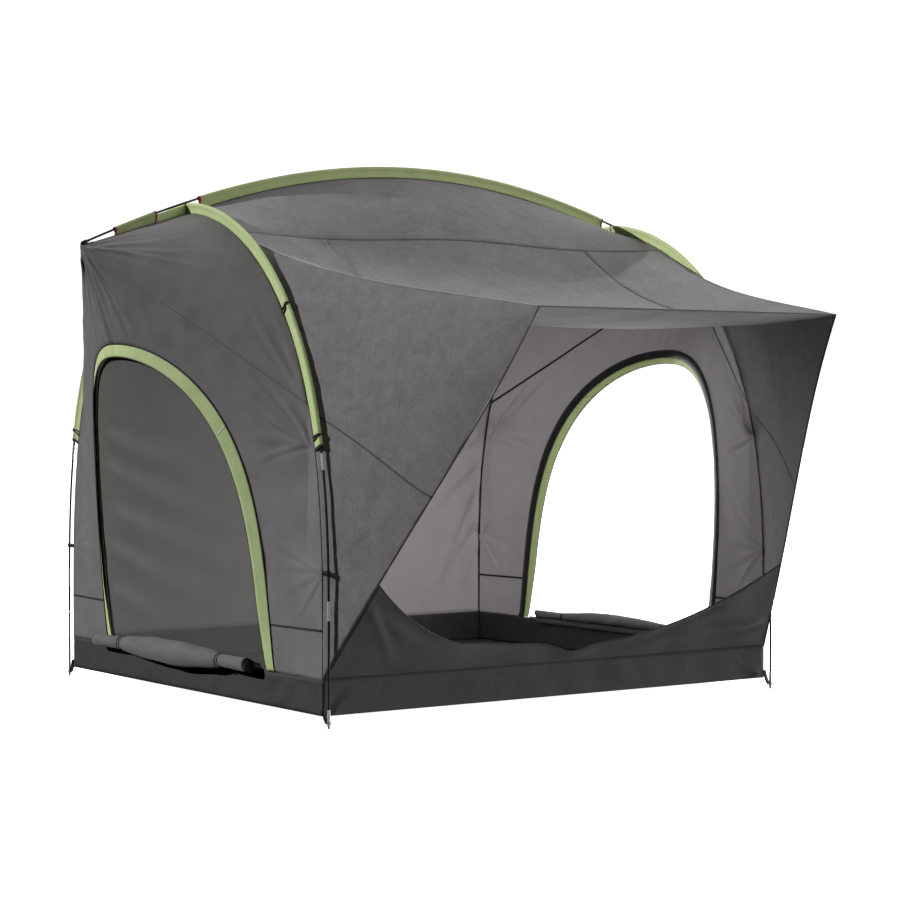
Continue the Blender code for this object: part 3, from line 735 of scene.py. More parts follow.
def nearSegment(grid, fold):
    # Each point's share along a straight segment, and its distance from it
    first = np.array(fold["from"], dtype=float)
    span = np.array(fold["to"], dtype=float) - first
    share = np.clip((grid - first) @ span / np.dot(span, span), 0.0, 1.0)
    return share, np.linalg.norm(grid - first - share[..., None] * span, axis=-1)


def lineFold(grid, fold):
    # One crease along a straight line between two points, raised or sunk
    share, away = nearSegment(grid, fold)
    taper = np.sin(math.pi * np.clip(share, 0.02, 0.98)) ** 0.5
    return fold["height"] * np.exp(-(away / fold["width"]) ** 2) * taper


def roundedFold(grid, fold):
    # A soft turn where two panels meet: both draw in toward the shared line
    share, away = nearSegment(grid, fold)
    strength = np.clip(1 - away / fold["width"], 0.0, 1.0) ** 2 * np.sin(math.pi * share) ** 0.6
    return strength[..., None] * fold["height"] * np.array(fold["way"])


def folded(grid, folds, slack, fadeWidth):
    # The grid with its folds, which fade out toward the seams; soft turns move the seams too
    normals = gridNormals(grid)
    fade = np.clip(edgeDistance(grid)[2] / fadeWidth, 0.0, 1.0)
    fade = fade * fade * (3 - 2 * fade)
    height = softWaves(grid, slack)
    shift = np.zeros_like(grid)
    for fold in folds:
        if fold["kind"] == "round":
            shift += roundedFold(grid, fold)
        elif fold["kind"] == "fan":
            height += fanFolds(grid, normals, fold)
        elif fold["kind"] == "long":
            height += longFolds(grid, normals, fold)
        elif fold["kind"] == "ray":
            height += rayFold(grid, normals, fold)
        else:
            height += lineFold(grid, fold)
    return grid + shift + normals * (height * fade)[..., None]


# Meshes

def addPiece(name, data, finish, nodes=()):
    material, slotName = finishes[finish]
    data.materials.append(material)
    piece = bpy.data.objects.new(name, data)
    scene.collection.objects.link(piece)
    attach(piece, "root")
    if nodes:
        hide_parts(*nodes)
    return piece


def clothPiece(name, grid, thickness, finish, nodes=(), offset=0.0):
    # A bmesh grid laid onto rows and columns of points, in the cloth's own length and width,
    # then given its thickness
    rows, columns = grid.shape[:2]
    left, low, _ = edgeDistance(grid)
    mesh = bmesh.new()
    bmesh.ops.create_grid(mesh, x_segments=columns - 1, y_segments=rows - 1, size=0.5)
    uvLayer = mesh.loops.layers.uv.new("UVMap")
    places = {}
    for vert in mesh.verts:
        i = round((vert.co.x + 0.5) * (columns - 1))
        j = round((vert.co.y + 0.5) * (rows - 1))
        places[vert] = (j, i)
        vert.co = grid[j, i]
    for face in mesh.faces:
        for loop in face.loops:
            j, i = places[loop.vert]
            loop[uvLayer].uv = (left[j, i], low[j, i])
    bmesh.ops.remove_doubles(mesh, verts=mesh.verts[:], dist=0.00002)
    mesh.normal_update()
    middle = Vector(insidePoint)
    total = sum(f.normal.dot(f.calc_center_median() - middle) * f.calc_area() for f in mesh.faces)
    if total < 0:
        bmesh.ops.reverse_faces(mesh, faces=mesh.faces[:])
    data = bpy.data.meshes.new(name)
    mesh.to_mesh(data)
    mesh.free()
    data.shade_smooth()
    piece = addPiece(name, data, finish, nodes)
    shell = piece.modifiers.new("thickness", "SOLIDIFY")
    shell.thickness = thickness
    shell.offset = offset
    shell.use_even_offset = False
    return piece


def cutSize(grid):
    # Flat size of the cut panel: its longest row and column, and its area
    across = np.linalg.norm(np.diff(grid, axis=1), axis=-1).sum(axis=1).max()
    along = np.linalg.norm(np.diff(grid, axis=0), axis=-1).sum(axis=0).max()
    crossed = np.cross(grid[1:, 1:] - grid[:-1, :-1], grid[1:, :-1] - grid[:-1, 1:])
    area = np.linalg.norm(crossed, axis=-1).sum() / 2
    return (round(float(across), 3), round(float(along), 3)), round(float(area), 3)


def declareCloth(grid):
    size, area = cutSize(grid)
    area = min(max(area, 0.301 * size[0] * size[1]), size[0] * size[1])


def tubePiece(name, points, radius, finish, nodes=(), sides=12):
    # A round bar along a line, made mesh with closed ends; radius is one number, or one for each point
    curve = bpy.data.curves.new(name + "Line", "CURVE")
    curve.dimensions = "3D"
    curve.bevel_depth = 1.0
    curve.bevel_resolution = (sides - 4) // 2
    curve.use_fill_caps = True
    spline = curve.splines.new("POLY")
    spline.points.add(len(points) - 1)
    for spot, point, size in zip(spline.points, points, np.broadcast_to(radius, len(points))):
        spot.co = (*point, 1.0)
        spot.radius = size
    holder = bpy.data.objects.new(name + "Line", curve)
    data = bpy.data.meshes.new_from_object(holder)
    bpy.data.objects.remove(holder)
    data.name = name
    mesh = bmesh.new()
    mesh.from_mesh(data)
    bmesh.ops.remove_doubles(mesh, verts=mesh.verts[:], dist=0.00001)
    bmesh.ops.recalc_face_normals(mesh, faces=mesh.faces[:])
    mesh.to_mesh(data)
    mesh.free()
    data.materials.clear()
    data.shade_smooth()
    data.set_sharp_from_angle(angle=math.radians(50))
    return addPiece(name, data, finish, nodes)


def stripPiece(name, line, facing, tape, nodes=()):
    # A flat tape along a line, lifted off it and facing outward
    lift, width, thickness, finish = tape
    facing = unit(np.array(facing, dtype=float))
    line = line + facing * lift
    across = unit(np.cross(facing, unit(np.gradient(line, axis=0))))
    grid = line[:, None] + across[:, None] * np.array([-0.5, 0.0, 0.5])[None, :, None] * width
    return clothPiece(name, grid, thickness, finish, nodes)


def bentLine(grid, u, v):
    # Points and normals on a finished cloth grid at shares of its columns and rows
    normals = gridNormals(grid)
    x = np.clip(u, 0, 1) * (grid.shape[1] - 1)
    y = np.clip(v, 0, 1) * (grid.shape[0] - 1)
    i = np.minimum(x.astype(int), grid.shape[1] - 2)
    j = np.minimum(y.astype(int), grid.shape[0] - 2)
    a = (x - i)[:, None]
    b = (y - j)[:, None]
    result = []
    for field in (grid, normals):
        low = field[j, i] * (1 - a) + field[j, i + 1] * a
        high = field[j + 1, i] * (1 - a) + field[j + 1, i + 1] * a
        result.append(low * (1 - b) + high * b)
    return result[0], unit(result[1])


# Fabric panels. Folds are tight creases at the tie points, drape folds between them, and slack all over.

clothLook = {"thickness": 0.0016, "slack": 0.0012, "slackLength": 0.16, "seamFade": 0.014, "rearFade": 0.035,
             "seed": 200}
# How much wider and higher than drawn the folds of a panel are
foldScale = {"rightWallHeight": 2.2, "rearWidth": 0.75, "rearHeight": 2.1}


def fan(at, toward, spread, reach, height, creases, seed, sharp):
    return {"kind": "fan", "at": at, "toward": toward, "spread": spread, "reach": reach, "height": height,
            "creases": creases, "seed": seed, "sharp": sharp}


def drape(at, along, spacing, long, wide, height, seed, sharp=1.2):
    return {"kind": "long", "at": at, "along": along, "spacing": spacing, "long": long, "wide": wide,
            "height": height, "seed": seed, "sharp": sharp}


def crease(first, last, width, height):
    return {"kind": "line", "from": first, "to": last, "width": width, "height": height}


def rays(start, ends, width, height):
    # Creases from one tie point to each of several ends, each a little different
    made = []
    for k, end in enumerate(ends):
        vary = 1 + 0.3 * math.sin(2.7 * k + 1)
        made.append({"kind": "ray", "from": start, "to": end, "width": width * vary,
                     "height": height * (2 - vary), "bow": 0.03 * math.sin(1.9 * k)})
    return made


def mirrored(points, side, end):
    return [(side * x, end * y, z) for x, y, z in points]


def turn(side, end):
    # Soft turn from the side wall to the eave, between the sleeve's end and the eave corner
    low = (side * halfWidth, end * 0.973, tent["legPoint"])
    return {"kind": "round", "from": low, "to": eaveCorner(side),
            "width": 0.22, "height": 0.010, "way": unit(np.array([-0.9 * side, 0.0, -0.45]))}


# Tie points, the ends of the creases that start there, and those creases' width and height
wallTies = [
    ((1.63, 0.01, 1.88), [(1.49, 0.03, 1.42), (1.46, 0.12, 1.46), (1.46, 0.23, 1.48), (1.43, 0.37, 1.52),
                          (1.38, 0.50, 1.55), (1.30, 0.66, 1.46)], 0.017, 0.0045),
    ((1.15, 0.99, 1.10), [(1.34, 0.55, 1.52), (1.31, 0.66, 1.45), (1.28, 0.73, 1.42), (1.24, 0.80, 1.36),
                          (1.27, 0.70, 1.26), (1.26, 0.63, 1.13), (1.22, 0.72, 1.03)], 0.018, 0.0055),
    ((1.15, 1.07, 0.60), [(1.20, 0.78, 0.86), (1.19, 0.74, 0.74), (1.17, 0.78, 0.62), (1.17, 0.80, 0.50),
                          (1.16, 0.88, 0.40)], 0.018, 0.0045),
]
eaveTies = [
    ((1.63, 0.01, 1.88), [(1.36, 0.48, 1.74), (1.30, 0.50, 1.80), (1.22, 0.46, 1.88), (1.26, 0.30, 1.94),
                          (1.30, 0.16, 1.98)], 0.017, 0.0045),
    ((1.15, 0.96, 1.27), [(1.32, 0.60, 1.64), (1.25, 0.66, 1.70), (1.20, 0.72, 1.70)], 0.02, 0.004),
]


def tieFolds(ties, side, end, heightScale=1.0):
    folds = []
    for tie, ends, width, height in ties:
        folds += rays(*mirrored([tie], side, end), mirrored(ends, side, end), width, height * heightScale)
    return folds


def wallFolds(side):
    folds = []
    x = side * halfWidth
    for end in (-1, 1):
        folds += tieFolds(wallTies, side, end, 1.0 if side < 0 else foldScale["rightWallHeight"])
        folds.append(fan((x, end * 1.07, 0.20), (x, end * 0.6, 0.6), 24, 0.35, 0.003, 4, 19 + end, 2.0))
        along = (0.1 * side, end * -0.6, 0.5)
        folds.append(drape((side * 1.3, end * 0.55, 1.55), along, 0.09, 0.35, 0.25, 0.002, 29 + end))
        folds.append(turn(side, end))
    folds.append(drape((side * 1.25, 0.0, 1.62), (0, 0, 1), 0.09, 0.14, 0.55, 0.004, 41))
    return folds


def eaveFolds(side, end):
    along = (side * 0.25, end * -0.6, 0.3)
    slope = drape((side * 1.24, end * 0.5, 1.82), along, 0.07, 0.3, 0.22, 0.002, 23 + end)
    return [turn(side, end), slope] + tieFolds(eaveTies, side, end)


# Creases across a front panel, from its leg to its free edge: shares of the grid where the first one runs
panelBands = {"count": 8, "onLeg": 0.54, "onEdge": 0.52, "step": 0.053, "width": 0.036, "height": 0.0022,
              "vary": 0.0008}


def panelFolds(side):
    x = side * halfWidth
    grid = frontPanelGrid(side)
    bands = []
    for k in range(panelBands["count"]):
        start = grid[0, int((panelBands["onLeg"] + panelBands["step"] * k) * grid.shape[1])]
        stop = grid[int((panelBands["onEdge"] + panelBands["step"] * k) * grid.shape[0]), 0]
        height = panelBands["height"] + panelBands["vary"] * math.sin(2.3 * k)
        bands += rays(start, [stop], panelBands["width"], height)
    return bands + [
        fan((x, -1.05, 0.60), (side * 0.95, -1.5, 1.0), 24, 0.35, 0.003, 4, 31, 2.0),
        fan((x, -1.0, 1.10), (side * 0.9, -1.6, 1.3), 30, 0.45, 0.0035, 5, 33, 2.0),
        fan(hoodCorner(side), (x, -0.7, 1.5), 24, 0.6, 0.0012, 5, 35, 1.5),
        drape((side * 1.05, -1.2, 0.9), (side * 0.3, -0.35, 0.75), 0.13, 0.6, 0.3, 0.002, 37, 0.8),
        crease((x, -0.8, 1.65), (side * 0.84, -1.7, 1.64), 0.03, 0.006),
    ]


def roofFolds(end):
    return [
        fan((-halfWidth, end * 0.02, tent["seamApex"]), (-0.3, end * 0.3, 2.1), 26, 0.5, 0.003, 5, 51, 2.0),
        fan((halfWidth, end * 0.02, tent["seamApex"]), (0.3, end * 0.3, 2.1), 26, 0.5, 0.003, 5, 53, 2.0),
        drape((0, end * 0.2, 2.15), (1, 0, 0), 0.12, 0.9, 0.2, 0.0015, 55, 0.8),
    ]


hoodFolds = [
    fan(hoodCorner(-1), (0.1, -1.2, 1.62), 30, 0.6, 0.0015, 5, 61, 1.5),
    fan(hoodCorner(1), (-0.1, -1.2, 1.62), 30, 0.6, 0.0015, 5, 63, 1.5),
    drape((0, -1.1, 1.6), (0, 1, 0.2), 0.22, 0.6, 0.6, 0.002, 65, 0.6),
]
rearFolds = [drape((0.1, 1.0, 1.3), (0.5, 0.1, 0.8), 0.25, 0.9, 0.9, 0.005, 79, 0.7)]
# Long drape folds from the corner ties, down toward the foot of the wall
rearDrapes = [
    ((1.10, 0.99, 1.22), (0.62, 1.08, 0.48), 0.060, 0.016),
    ((1.13, 1.02, 1.05), (0.55, 1.08, 0.80), 0.045, 0.010),
    ((1.14, 1.04, 0.94), (0.80, 1.07, 0.62), 0.035, 0.010),
    ((1.14, 1.06, 0.82), (0.92, 1.07, 0.32), 0.040, 0.014),
    ((1.15, 1.07, 0.65), (0.88, 1.07, 0.26), 0.040, 0.012),
    ((1.15, 1.07, 0.52), (1.02, 1.07, 0.21), 0.028, 0.008),
]
for side in (-1, 1):
    for first, last, width, height in rearDrapes:
        start, stop = mirrored([first, last], side, 1)
        rearFolds += rays(start, [stop], foldScale["rearWidth"] * width, foldScale["rearHeight"] * height)


def skirtFolds(side):
    return [drape((side * halfWidth, y, 0.11), (0, 0.5 * lean, 0.5), 0.09, 0.14, 0.3, 0.004, 81 + k, 1.5)
            for k, (y, lean) in enumerate([(-0.75, -1), (-0.2, -1), (0.3, 1), (0.85, 1)])]


def endSkirtFolds(end):
    y = end * halfDepth
    folds = [drape((x, y, 0.11), (0.5 * lean, 0, 0.5), 0.08, 0.16, 0.3, 0.002, 91 + k, 1.5)
             for k, (x, lean) in enumerate([(-0.9, -1), (-0.3, 1), (0.4, -1)])]
    for side in (-1, 1):
        ends = [(side * x, y, z) for x, z in ((0.84, 0.19), (0.93, 0.18), (1.01, 0.17), (0.90, 0.10))]
        folds += rays((side * 1.12, y, 0.05), ends, 0.018, 0.006)
    return folds


lipFolds = rays((1.10, -1.15, 0.31), [(0.32, -1.10, 0.22)], 0.030, 0.018)
lipFolds += rays((0.80, -1.20, 0.42), [(0.20, -1.09, 0.22)], 0.026, 0.015)
lipFolds += rays((0.42, -1.12, 0.30), [(-0.05, -1.08, 0.20)], 0.024, 0.014)
lipFolds += rays((-1.05, -1.24, 0.48), [(-0.60, -1.10, 0.22), (-0.85, -1.10, 0.22)], 0.030, 0.006)
lipFolds.append(fan((halfWidth, -halfDepth, 0.19), (0.8, -1.12, 0.4), 34, 0.4, 0.004, 5, 105, 2.0))
doorFolds = [drape((-1.2, 0.1, 0.85), (0, -0.62, -0.6), 0.30, 0.8, 0.7, 0.005, 111, 0.8)]
screenCreases = [((0.38, 1.14), (-0.35, 1.00)), ((0.45, 1.00), (-0.55, 0.76)), ((0.52, 0.80), (-0.58, 0.57)),
                 ((0.60, 0.62), (-0.35, 0.40)), ((0.62, 0.42), (0.0, 0.26))]
for first, last in screenCreases:
    doorFolds += rays((-1.25, *first), [(-1.25, *last)], 0.055, 0.020)

grids = {}
panels = [
    ("roof_front", roofGrid(-1), roofFolds(-1), "heather", ["left_arch_pole", "ridge_pole"]),
    ("roof_rear", roofGrid(1), roofFolds(1), "heather", ["left_arch_pole", "ridge_pole"]),
    ("rear_wall", rearWallGrid(), rearFolds, "plain", ["rear_skirt"]),
    ("hood_centre", hoodCentreGrid(), hoodFolds, "heather", ["roof_front"]),
    ("front_lip", lipGrid(), lipFolds, "tub", ["front_skirt"]),
    ("front_skirt", endSkirtGrid(-1), endSkirtFolds(-1), "tub", ["floor"]),
    ("rear_skirt", endSkirtGrid(1), endSkirtFolds(1), "tub", ["floor"]),
    ("floor", floorGrid(), [], "tub", ["front_skirt"]),
    ("left_door_mesh", doorGrid(-1), doorFolds, "net", ["left_door_trim"]),
]
for side, word in leftRight:
    arch = word + "_arch_pole"
    panels += [
        ("hood_" + word, hoodSideGrid(side), [], "heather", ["roof_front"]),
        (f"front_{word}_panel", frontPanelGrid(side), panelFolds(side), "heather", [arch]),
        (word + "_eave_front", eaveGrid(side, -1), eaveFolds(side, -1), "plain", [arch, "ridge_pole"]),
        (word + "_eave_rear", eaveGrid(side, 1), eaveFolds(side, 1), "plain", [arch, "ridge_pole"]),
        (word + "_wall", wallGrid(side), wallFolds(side), "plain", [arch, word + "_skirt"]),
        (word + "_door_trim", trimGrid(side), [], "lime", [word + "_wall"]),
        (word + "_skirt", sideSkirtGrid(side), skirtFolds(side), "tub", ["floor"]),
    ]
for k, (name, grid, folds, finish, restsOn) in enumerate(panels):
    still = name.endswith("trim") or name == "floor"
    height = 0.0 if still else clothLook["slack"]
    slack = {"length": clothLook["slackLength"], "height": height, "seed": clothLook["seed"] + k}
    grids[name] = folded(grid, folds, slack, clothLook["rearFade" if name == "rear_wall" else "seamFade"])
    piece = clothPiece(name + "_cloth", grids[name], clothLook["thickness"], finish, [name])
    declareCloth(grids[name])
print("fabric panels done")


# Poles: glass-fibre rods with aluminium ferrules, tips in rings at the corners

poleLook = {"radius": 0.00475, "ferruleRadius": 0.0058, "ferrules": ((0.418, 0.494), (1.0, 1.064)),
            "tip": 0.074, "ridgeEnd": 1.640}


def archPoints(side, end, heights, arch=poleArch):
    z = np.array(heights, dtype=float)
    return onArch(side, end, archDepth(z, *arch), z)


def archPoleHalf(side, end):
    # Bare leg from the ground up, then the curve to the apex
    leg = archPoints(side, end, np.linspace(0.002, spring, 6))
    curve = onArch(side, end, *archAt(np.linspace(0.02, math.pi / 2, 70), *poleArch))
    return np.vstack([leg, curve[curve[:, 2] > spring + 0.01]])


def ridgePoleLine(x):
    fallen = tent["ridgePoleTop"] - tent["ridgePoleFall"] * x * x
    return overRidge(x, fallen + tent["ridgePoleFlare"] * x ** 4)


for side, word in leftRight:
    halves = [archPoleHalf(side, end) for end in (-1, 1)]
    tubePiece(word + "_arch_rod", np.vstack([halves[0], halves[1][-2::-1]]), poleLook["radius"], "rod",
              [word + "_arch_pole"])
    for end, place in frontRear:
        for k, (low, high) in enumerate(poleLook["ferrules"]):
            line = archPoints(side, end, np.linspace(low, high, 6))
            shape = np.array([0.93, 1.0, 1.0, 1.0, 1.0, 0.93]) * poleLook["ferruleRadius"]
            tubePiece(f"{place}_{word}_ferrule_{k + 1}", line, shape, "ferrule", sides=16)
        line = archPoints(side, end, (0.0, 0.003, 0.03, poleLook["tip"] - 0.002, poleLook["tip"]))
        shape = np.array([0.75, 1.0, 1.0, 1.0, 0.9]) * poleLook["ferruleRadius"]
        tubePiece(f"{place}_{word}_tip", line, shape, "ferrule", sides=16)
ridgeX = np.linspace(-poleLook["ridgeEnd"], poleLook["ridgeEnd"], 90)
tubePiece("ridge_rod", ridgePoleLine(ridgeX), poleLook["radius"], "rod", ["ridge_pole"])
print("poles done")


# Sleeves: a strip of lime cloth folded over the pole, its two edges sewn into the seam below

sleeveLook = {"radius": 0.0088, "web": 0.0026, "foot": 0.0011, "pucker": 0.0011, "puckerLength": 0.034,
              "cloth": 0.0009, "lowEnd": 1.077, "lift": 0.0012, "ties": (1.118, 1.622), "tieHalf": 0.012,
              "cord": 0.0032, "band": 0.0012, "seam": 0.0026, "apexTape": 0.0115, "apexMiddle": 2.0925}
lateralX = (1.0, 0.0, 0.0)
lateralY = (0.0, 1.0, 0.0)


def foldedOver(poleLine, footLine, lateral, look, seed):
    # Rows along the pole; columns up one side of the web, round the pole and down the other side
    tangents = unit(np.gradient(poleLine, axis=0))
    out = poleLine - footLine
    out = unit(out - tangents * np.sum(out * tangents, axis=1)[:, None])
    lateral = np.array(lateral, dtype=float)[None]
    travel = np.concatenate([[0.0], np.cumsum(np.linalg.norm(np.diff(poleLine, axis=0), axis=1))])
    rng = np.random.default_rng(seed)
    strength = 0.55 + 0.45 * np.sin(travel / 0.11 + rng.uniform(0, 6)) * np.sin(travel / 0.037)
    phase = travel * 2 * math.pi / look["puckerLength"]
    sway = (look["pucker"] * 1.3 * strength * np.sin(phase + 2.0 * np.sin(travel * 9)))[:, None] * lateral
    shoulder = poleLine - out * look["radius"] * 1.7
    left = []
    right = []
    for share in (0.0, 0.3, 0.6, 0.85):
        place = footLine + (shoulder - footLine) * share + sway * math.sin(math.pi * share * 0.6)
        half = lateral * (look["foot"] + (look["web"] - look["foot"]) * share)
        left.append(place - half)
        right.append(place + half)
    ring = []
    for degrees in range(-140, 141, 20):
        angle = math.radians(degrees)
        bump = look["pucker"] * strength * np.sin(phase + 1.8 * angle)
        reach = (look["radius"] + bump * (0.4 + 0.6 * abs(math.sin(angle))))[:, None]
        ring.append(poleLine + out * math.cos(angle) * reach + lateral * math.sin(angle) * reach)
    return np.stack(left + ring + right[::-1], axis=1)


def archLines(side, end, low, high, count):
    # Pole and seam under it, from a height on the seam up to an angle of the arch
    angles = np.linspace(archAngle(low), high, count)
    pole = onArch(side, end, *archAt(angles, *poleArch))
    foot = onArch(side, end, *archAt(angles, *seamArch))
    return pole, foot + unit(pole - foot) * sleeveLook["lift"]


def ridgeLines(fromX, toX, count):
    x = np.linspace(fromX, toX, count)
    return ridgePoleLine(x), overRidge(x, ridgeLine(x) + sleeveLook["lift"])


def smoothSleeve(radius, web, foot):
    # The sleeve's section without puckers, wider by these amounts
    return dict(sleeveLook, radius=sleeveLook["radius"] + radius, web=sleeveLook["web"] + web,
                foot=sleeveLook["foot"] + foot, pucker=0.0)


def bandAround(name, lines, lateral, grow, finish):
    # A closed loop of tape around a pole and its web
    grid = foldedOver(*lines, lateral, smoothSleeve(grow, grow, grow), 1)
    return clothPiece(name, grid, sleeveLook["band"], finish, offset=-1.0)


def tieAround(name, side, end, z):
    # A cord tied round the pole and its sleeve: two turns that cross
    lines = archLines(side, end, z - sleeveLook["tieHalf"], archAngle(z + sleeveLook["tieHalf"]), 9)
    rows = foldedOver(*lines, lateralX, smoothSleeve(0.0022, 0.003, 0.002), 1)
    columns = rows.shape[1]
    for k, (low, high) in enumerate(((1, 7), (6, 3))):
        places = np.linspace(low, high, columns)
        line = np.array([rows[int(round(places[i])), i] for i in range(columns)])
        line[1:-1] = (line[:-2] + 2 * line[1:-1] + line[2:]) / 4
        tubePiece(f"{name}_{k + 1}", line, sleeveLook["cord"], "webbing", sides=8)


for side, word in leftRight:
    for end, place in frontRear:
        name = f"{word}_arch_sleeve_{place}"
        low = sleeveLook["lowEnd"]
        lines = archLines(side, end, low, math.pi / 2, 190)
        grid = foldedOver(*lines, lateralX, sleeveLook, 7 + side + 2 * end)
        piece = clothPiece(name + "_cloth", grid, sleeveLook["cloth"], "lime", [name], offset=-1.0)
        declareCloth(grid)
        lines = archLines(side, end, low - 0.008, archAngle(low + 0.004), 4)
        bandAround(name + "_end", lines, lateralX, 0.0010, "webbing")
        for k, z in enumerate(sleeveLook["ties"]):
            tieAround(f"{name}_tie_{k + 1}", side, end, z)

ridgeSleeves = {"ridge_sleeve_centre": (-1.09, 1.09, 200), "ridge_sleeve_left": (-1.488, -1.30, 24),
                "ridge_sleeve_right": (1.30, 1.488, 24)}
for k, (name, (first, last, count)) in enumerate(ridgeSleeves.items()):
    grid = foldedOver(*ridgeLines(first, last, count), lateralY, sleeveLook, 20 + k)
    # The ridge sleeves take the darker lime: painted shade
    piece = clothPiece(name + "_cloth", grid, sleeveLook["cloth"], "limePaintedShade", [name], offset=-1.0)
    declareCloth(grid)
    for end, x in enumerate((first, last)):
        bandAround(f"{name}_red_{end + 1}", ridgeLines(x - 0.004, x + 0.004, 4), lateralY, 0.001, "red")
    x = np.linspace(first, last, count)
    tubePiece(name + "_seam", overRidge(x, ridgeLine(x) + 0.001), sleeveLook["seam"], "webbing", sides=8)
# Section of the tape that closes the two arch sleeves over the seam: offset along X and height
apexHalf = [(0.004, 2.052), (0.0045, 2.075)]
apexRadius = sleeveLook["apexTape"]
apexRing = [(apexRadius * math.sin(a), sleeveLook["apexMiddle"] + apexRadius * math.cos(a))
            for a in map(math.radians, range(-130, 131, 20))]
apexSection = [(-x, z) for x, z in apexHalf] + apexRing + apexHalf[::-1]
for side, word in leftRight:
    # Lime strip between the arch and the eave sleeve, under the bare pole
    flangeX = np.array([side * 1.152, side * 1.30])
    low = overRidge(flangeX, ridgeLine(flangeX))
    high = np.array([[flangeX[0], 0.0, 2.096], [flangeX[1], 0.0, ridgePoleLine(flangeX)[1, 2] - 0.006]])
    grid = bandGrid(low, high)
    grid[:, :, 1] += 0.0012 * np.sin(grid[:, :, 0] * 190 + grid[:, :, 2] * 60)
    clothPiece(word + "_ridge_flange", grid, 0.003, "lime")
    grid = np.array([[(side * halfWidth + x, y, z) for x, z in apexSection] for y in (-0.0035, 0.0, 0.0035)])
    clothPiece(word + "_apex_tape", grid, sleeveLook["band"], "lime", offset=-1.0)
print("sleeves done")


# Clips, feet and caps

def hookRing(name, centre, axis, radius, thick, finish):
    # A closed ring around an axis: a small circle spun about the pole
    axis = Vector(axis).normalized()
    side = axis.orthogonal().normalized()
    mesh = bmesh.new()
    bmesh.ops.create_circle(mesh, cap_ends=False, segments=10, radius=thick)
    upright = Vector((0, 0, 1)).rotation_difference(axis.cross(side)).to_matrix()
    bmesh.ops.rotate(mesh, verts=mesh.verts[:], cent=(0, 0, 0), matrix=upright)
    bmesh.ops.translate(mesh, verts=mesh.verts[:], vec=Vector(centre) + side * radius)
    bmesh.ops.spin(mesh, geom=mesh.edges[:] + mesh.verts[:], cent=centre, axis=axis, angle=2 * math.pi,
                   steps=28, use_merge=True)
    bmesh.ops.remove_doubles(mesh, verts=mesh.verts[:], dist=0.00002)
    bmesh.ops.recalc_face_normals(mesh, faces=mesh.faces[:])
    data = bpy.data.meshes.new(name)
    mesh.to_mesh(data)
    mesh.free()
    data.shade_smooth()
    return addPiece(name, data, finish)


fittingLook = {
    "clip": {"span": (0.594, 0.611), "radius": 0.0078, "web": 0.0026, "foot": 0.0018, "thickness": 0.0026},
    "rib": {"heights": (0.597, 0.608), "radius": 0.0090, "thick": 0.0014},
    "strap": {"tape": (0.0, 0.019, 0.0018, "webbing"), "top": 0.078},
    "ring": {"height": 0.017, "radius": 0.0098, "thick": 0.0019},
    "pin": {"rise": 0.008, "radius": 0.0078, "thick": 0.0015},
    "cap": {"x": (1.600, 1.612, 1.626, 1.638, 1.6435, 1.6455),
            "radii": (0.0050, 0.0055, 0.0056, 0.0055, 0.0048, 0.003), "loop": (1.618, 1.637)},
    "tab": {"x": (1.590, 1.645), "thickness": 0.003},
}


def clipOnPole(name, side, end):
    clip = fittingLook["clip"]
    z = np.linspace(*clip["span"], 4)
    pole = archPoints(side, end, z)
    foot = archPoints(side, end, z, seamArch)
    foot += unit(pole - foot) * sleeveLook["lift"]
    look = dict(sleeveLook, radius=clip["radius"], web=clip["web"], foot=clip["foot"], pucker=0.0)
    clothPiece(name + "_hook", foldedOver(pole, foot, lateralX, look, 1), clip["thickness"], "nylon", [name],
               offset=-1.0)
    rib = fittingLook["rib"]
    for k, centre in enumerate(archPoints(side, end, rib["heights"])):
        hookRing(f"{name}_rib_{k + 1}", tuple(centre), (0, 0, 1), rib["radius"], rib["thick"], "nylon")


def footStrap(name, side, end):
    # A webbing strap from the tub's corner to a ring on the pole's tip
    strap, ring, pin = (fittingLook[key] for key in ("strap", "ring", "pin"))
    tip = archPoints(side, end, [ring["height"]])[0]
    top = np.array([side * halfWidth, end * (halfDepth + 0.003), strap["top"]])
    low = tip - np.array([0.0, end * 0.0105, -0.002])
    controls = (top + np.array([0.0, end * 0.010, -0.03]), low + np.array([0.0, -end * 0.012, 0.012]))
    line = bezierPath(top, *controls, low)(np.linspace(0, 1, 14))
    facing = np.cross(unit(np.gradient(line, axis=0)), lateralX) * end
    stripPiece(name + "_webbing", line, facing, strap["tape"], [name])
    hookRing(name + "_ring", tuple(tip), (0.0, -0.25 * end, 1.0), ring["radius"], ring["thick"], "ferrule")
    centre = tuple(tip + np.array([0.0, 0.0, pin["rise"]]))
    hookRing(name + "_pin", centre, (0.0, 0.0, 1.0), pin["radius"], pin["thick"], "nylon")


for side, word in leftRight:
    for end, place in frontRear:
        clipOnPole(f"{place}_{word}_leg_clip", side, end)
        footStrap(f"{place}_{word}_foot_strap", side, end)
    # Cap on the ridge pole's end, in a loop of webbing at the eave corner
    name = word + "_eave_cap"
    cap = fittingLook["cap"]
    line = ridgePoleLine(side * np.array(cap["x"]))
    tubePiece(name + "_moulded", line, cap["radii"], "nylon", [name], sides=16)
    bandAround(name + "_loop", ridgeLines(side * cap["loop"][0], side * cap["loop"][1], 4), lateralY, -0.0016,
               "webbing")
    # Webbing tab that fills the notch between the pole's end and the cloth's corner
    tabX = side * np.array(fittingLook["tab"]["x"])
    low = overRidge(tabX, ridgeLine(tabX))
    high = ridgePoleLine(tabX) - np.array([0.0, 0.0, 0.003])
    high[0] = low[0] + np.array([0.0, 0.0, 0.002])
    clothPiece(name + "_tab", bandGrid(low, high), fittingLook["tab"]["thickness"], "webbing")
print("fittings done")


# Seams, tapes and piping

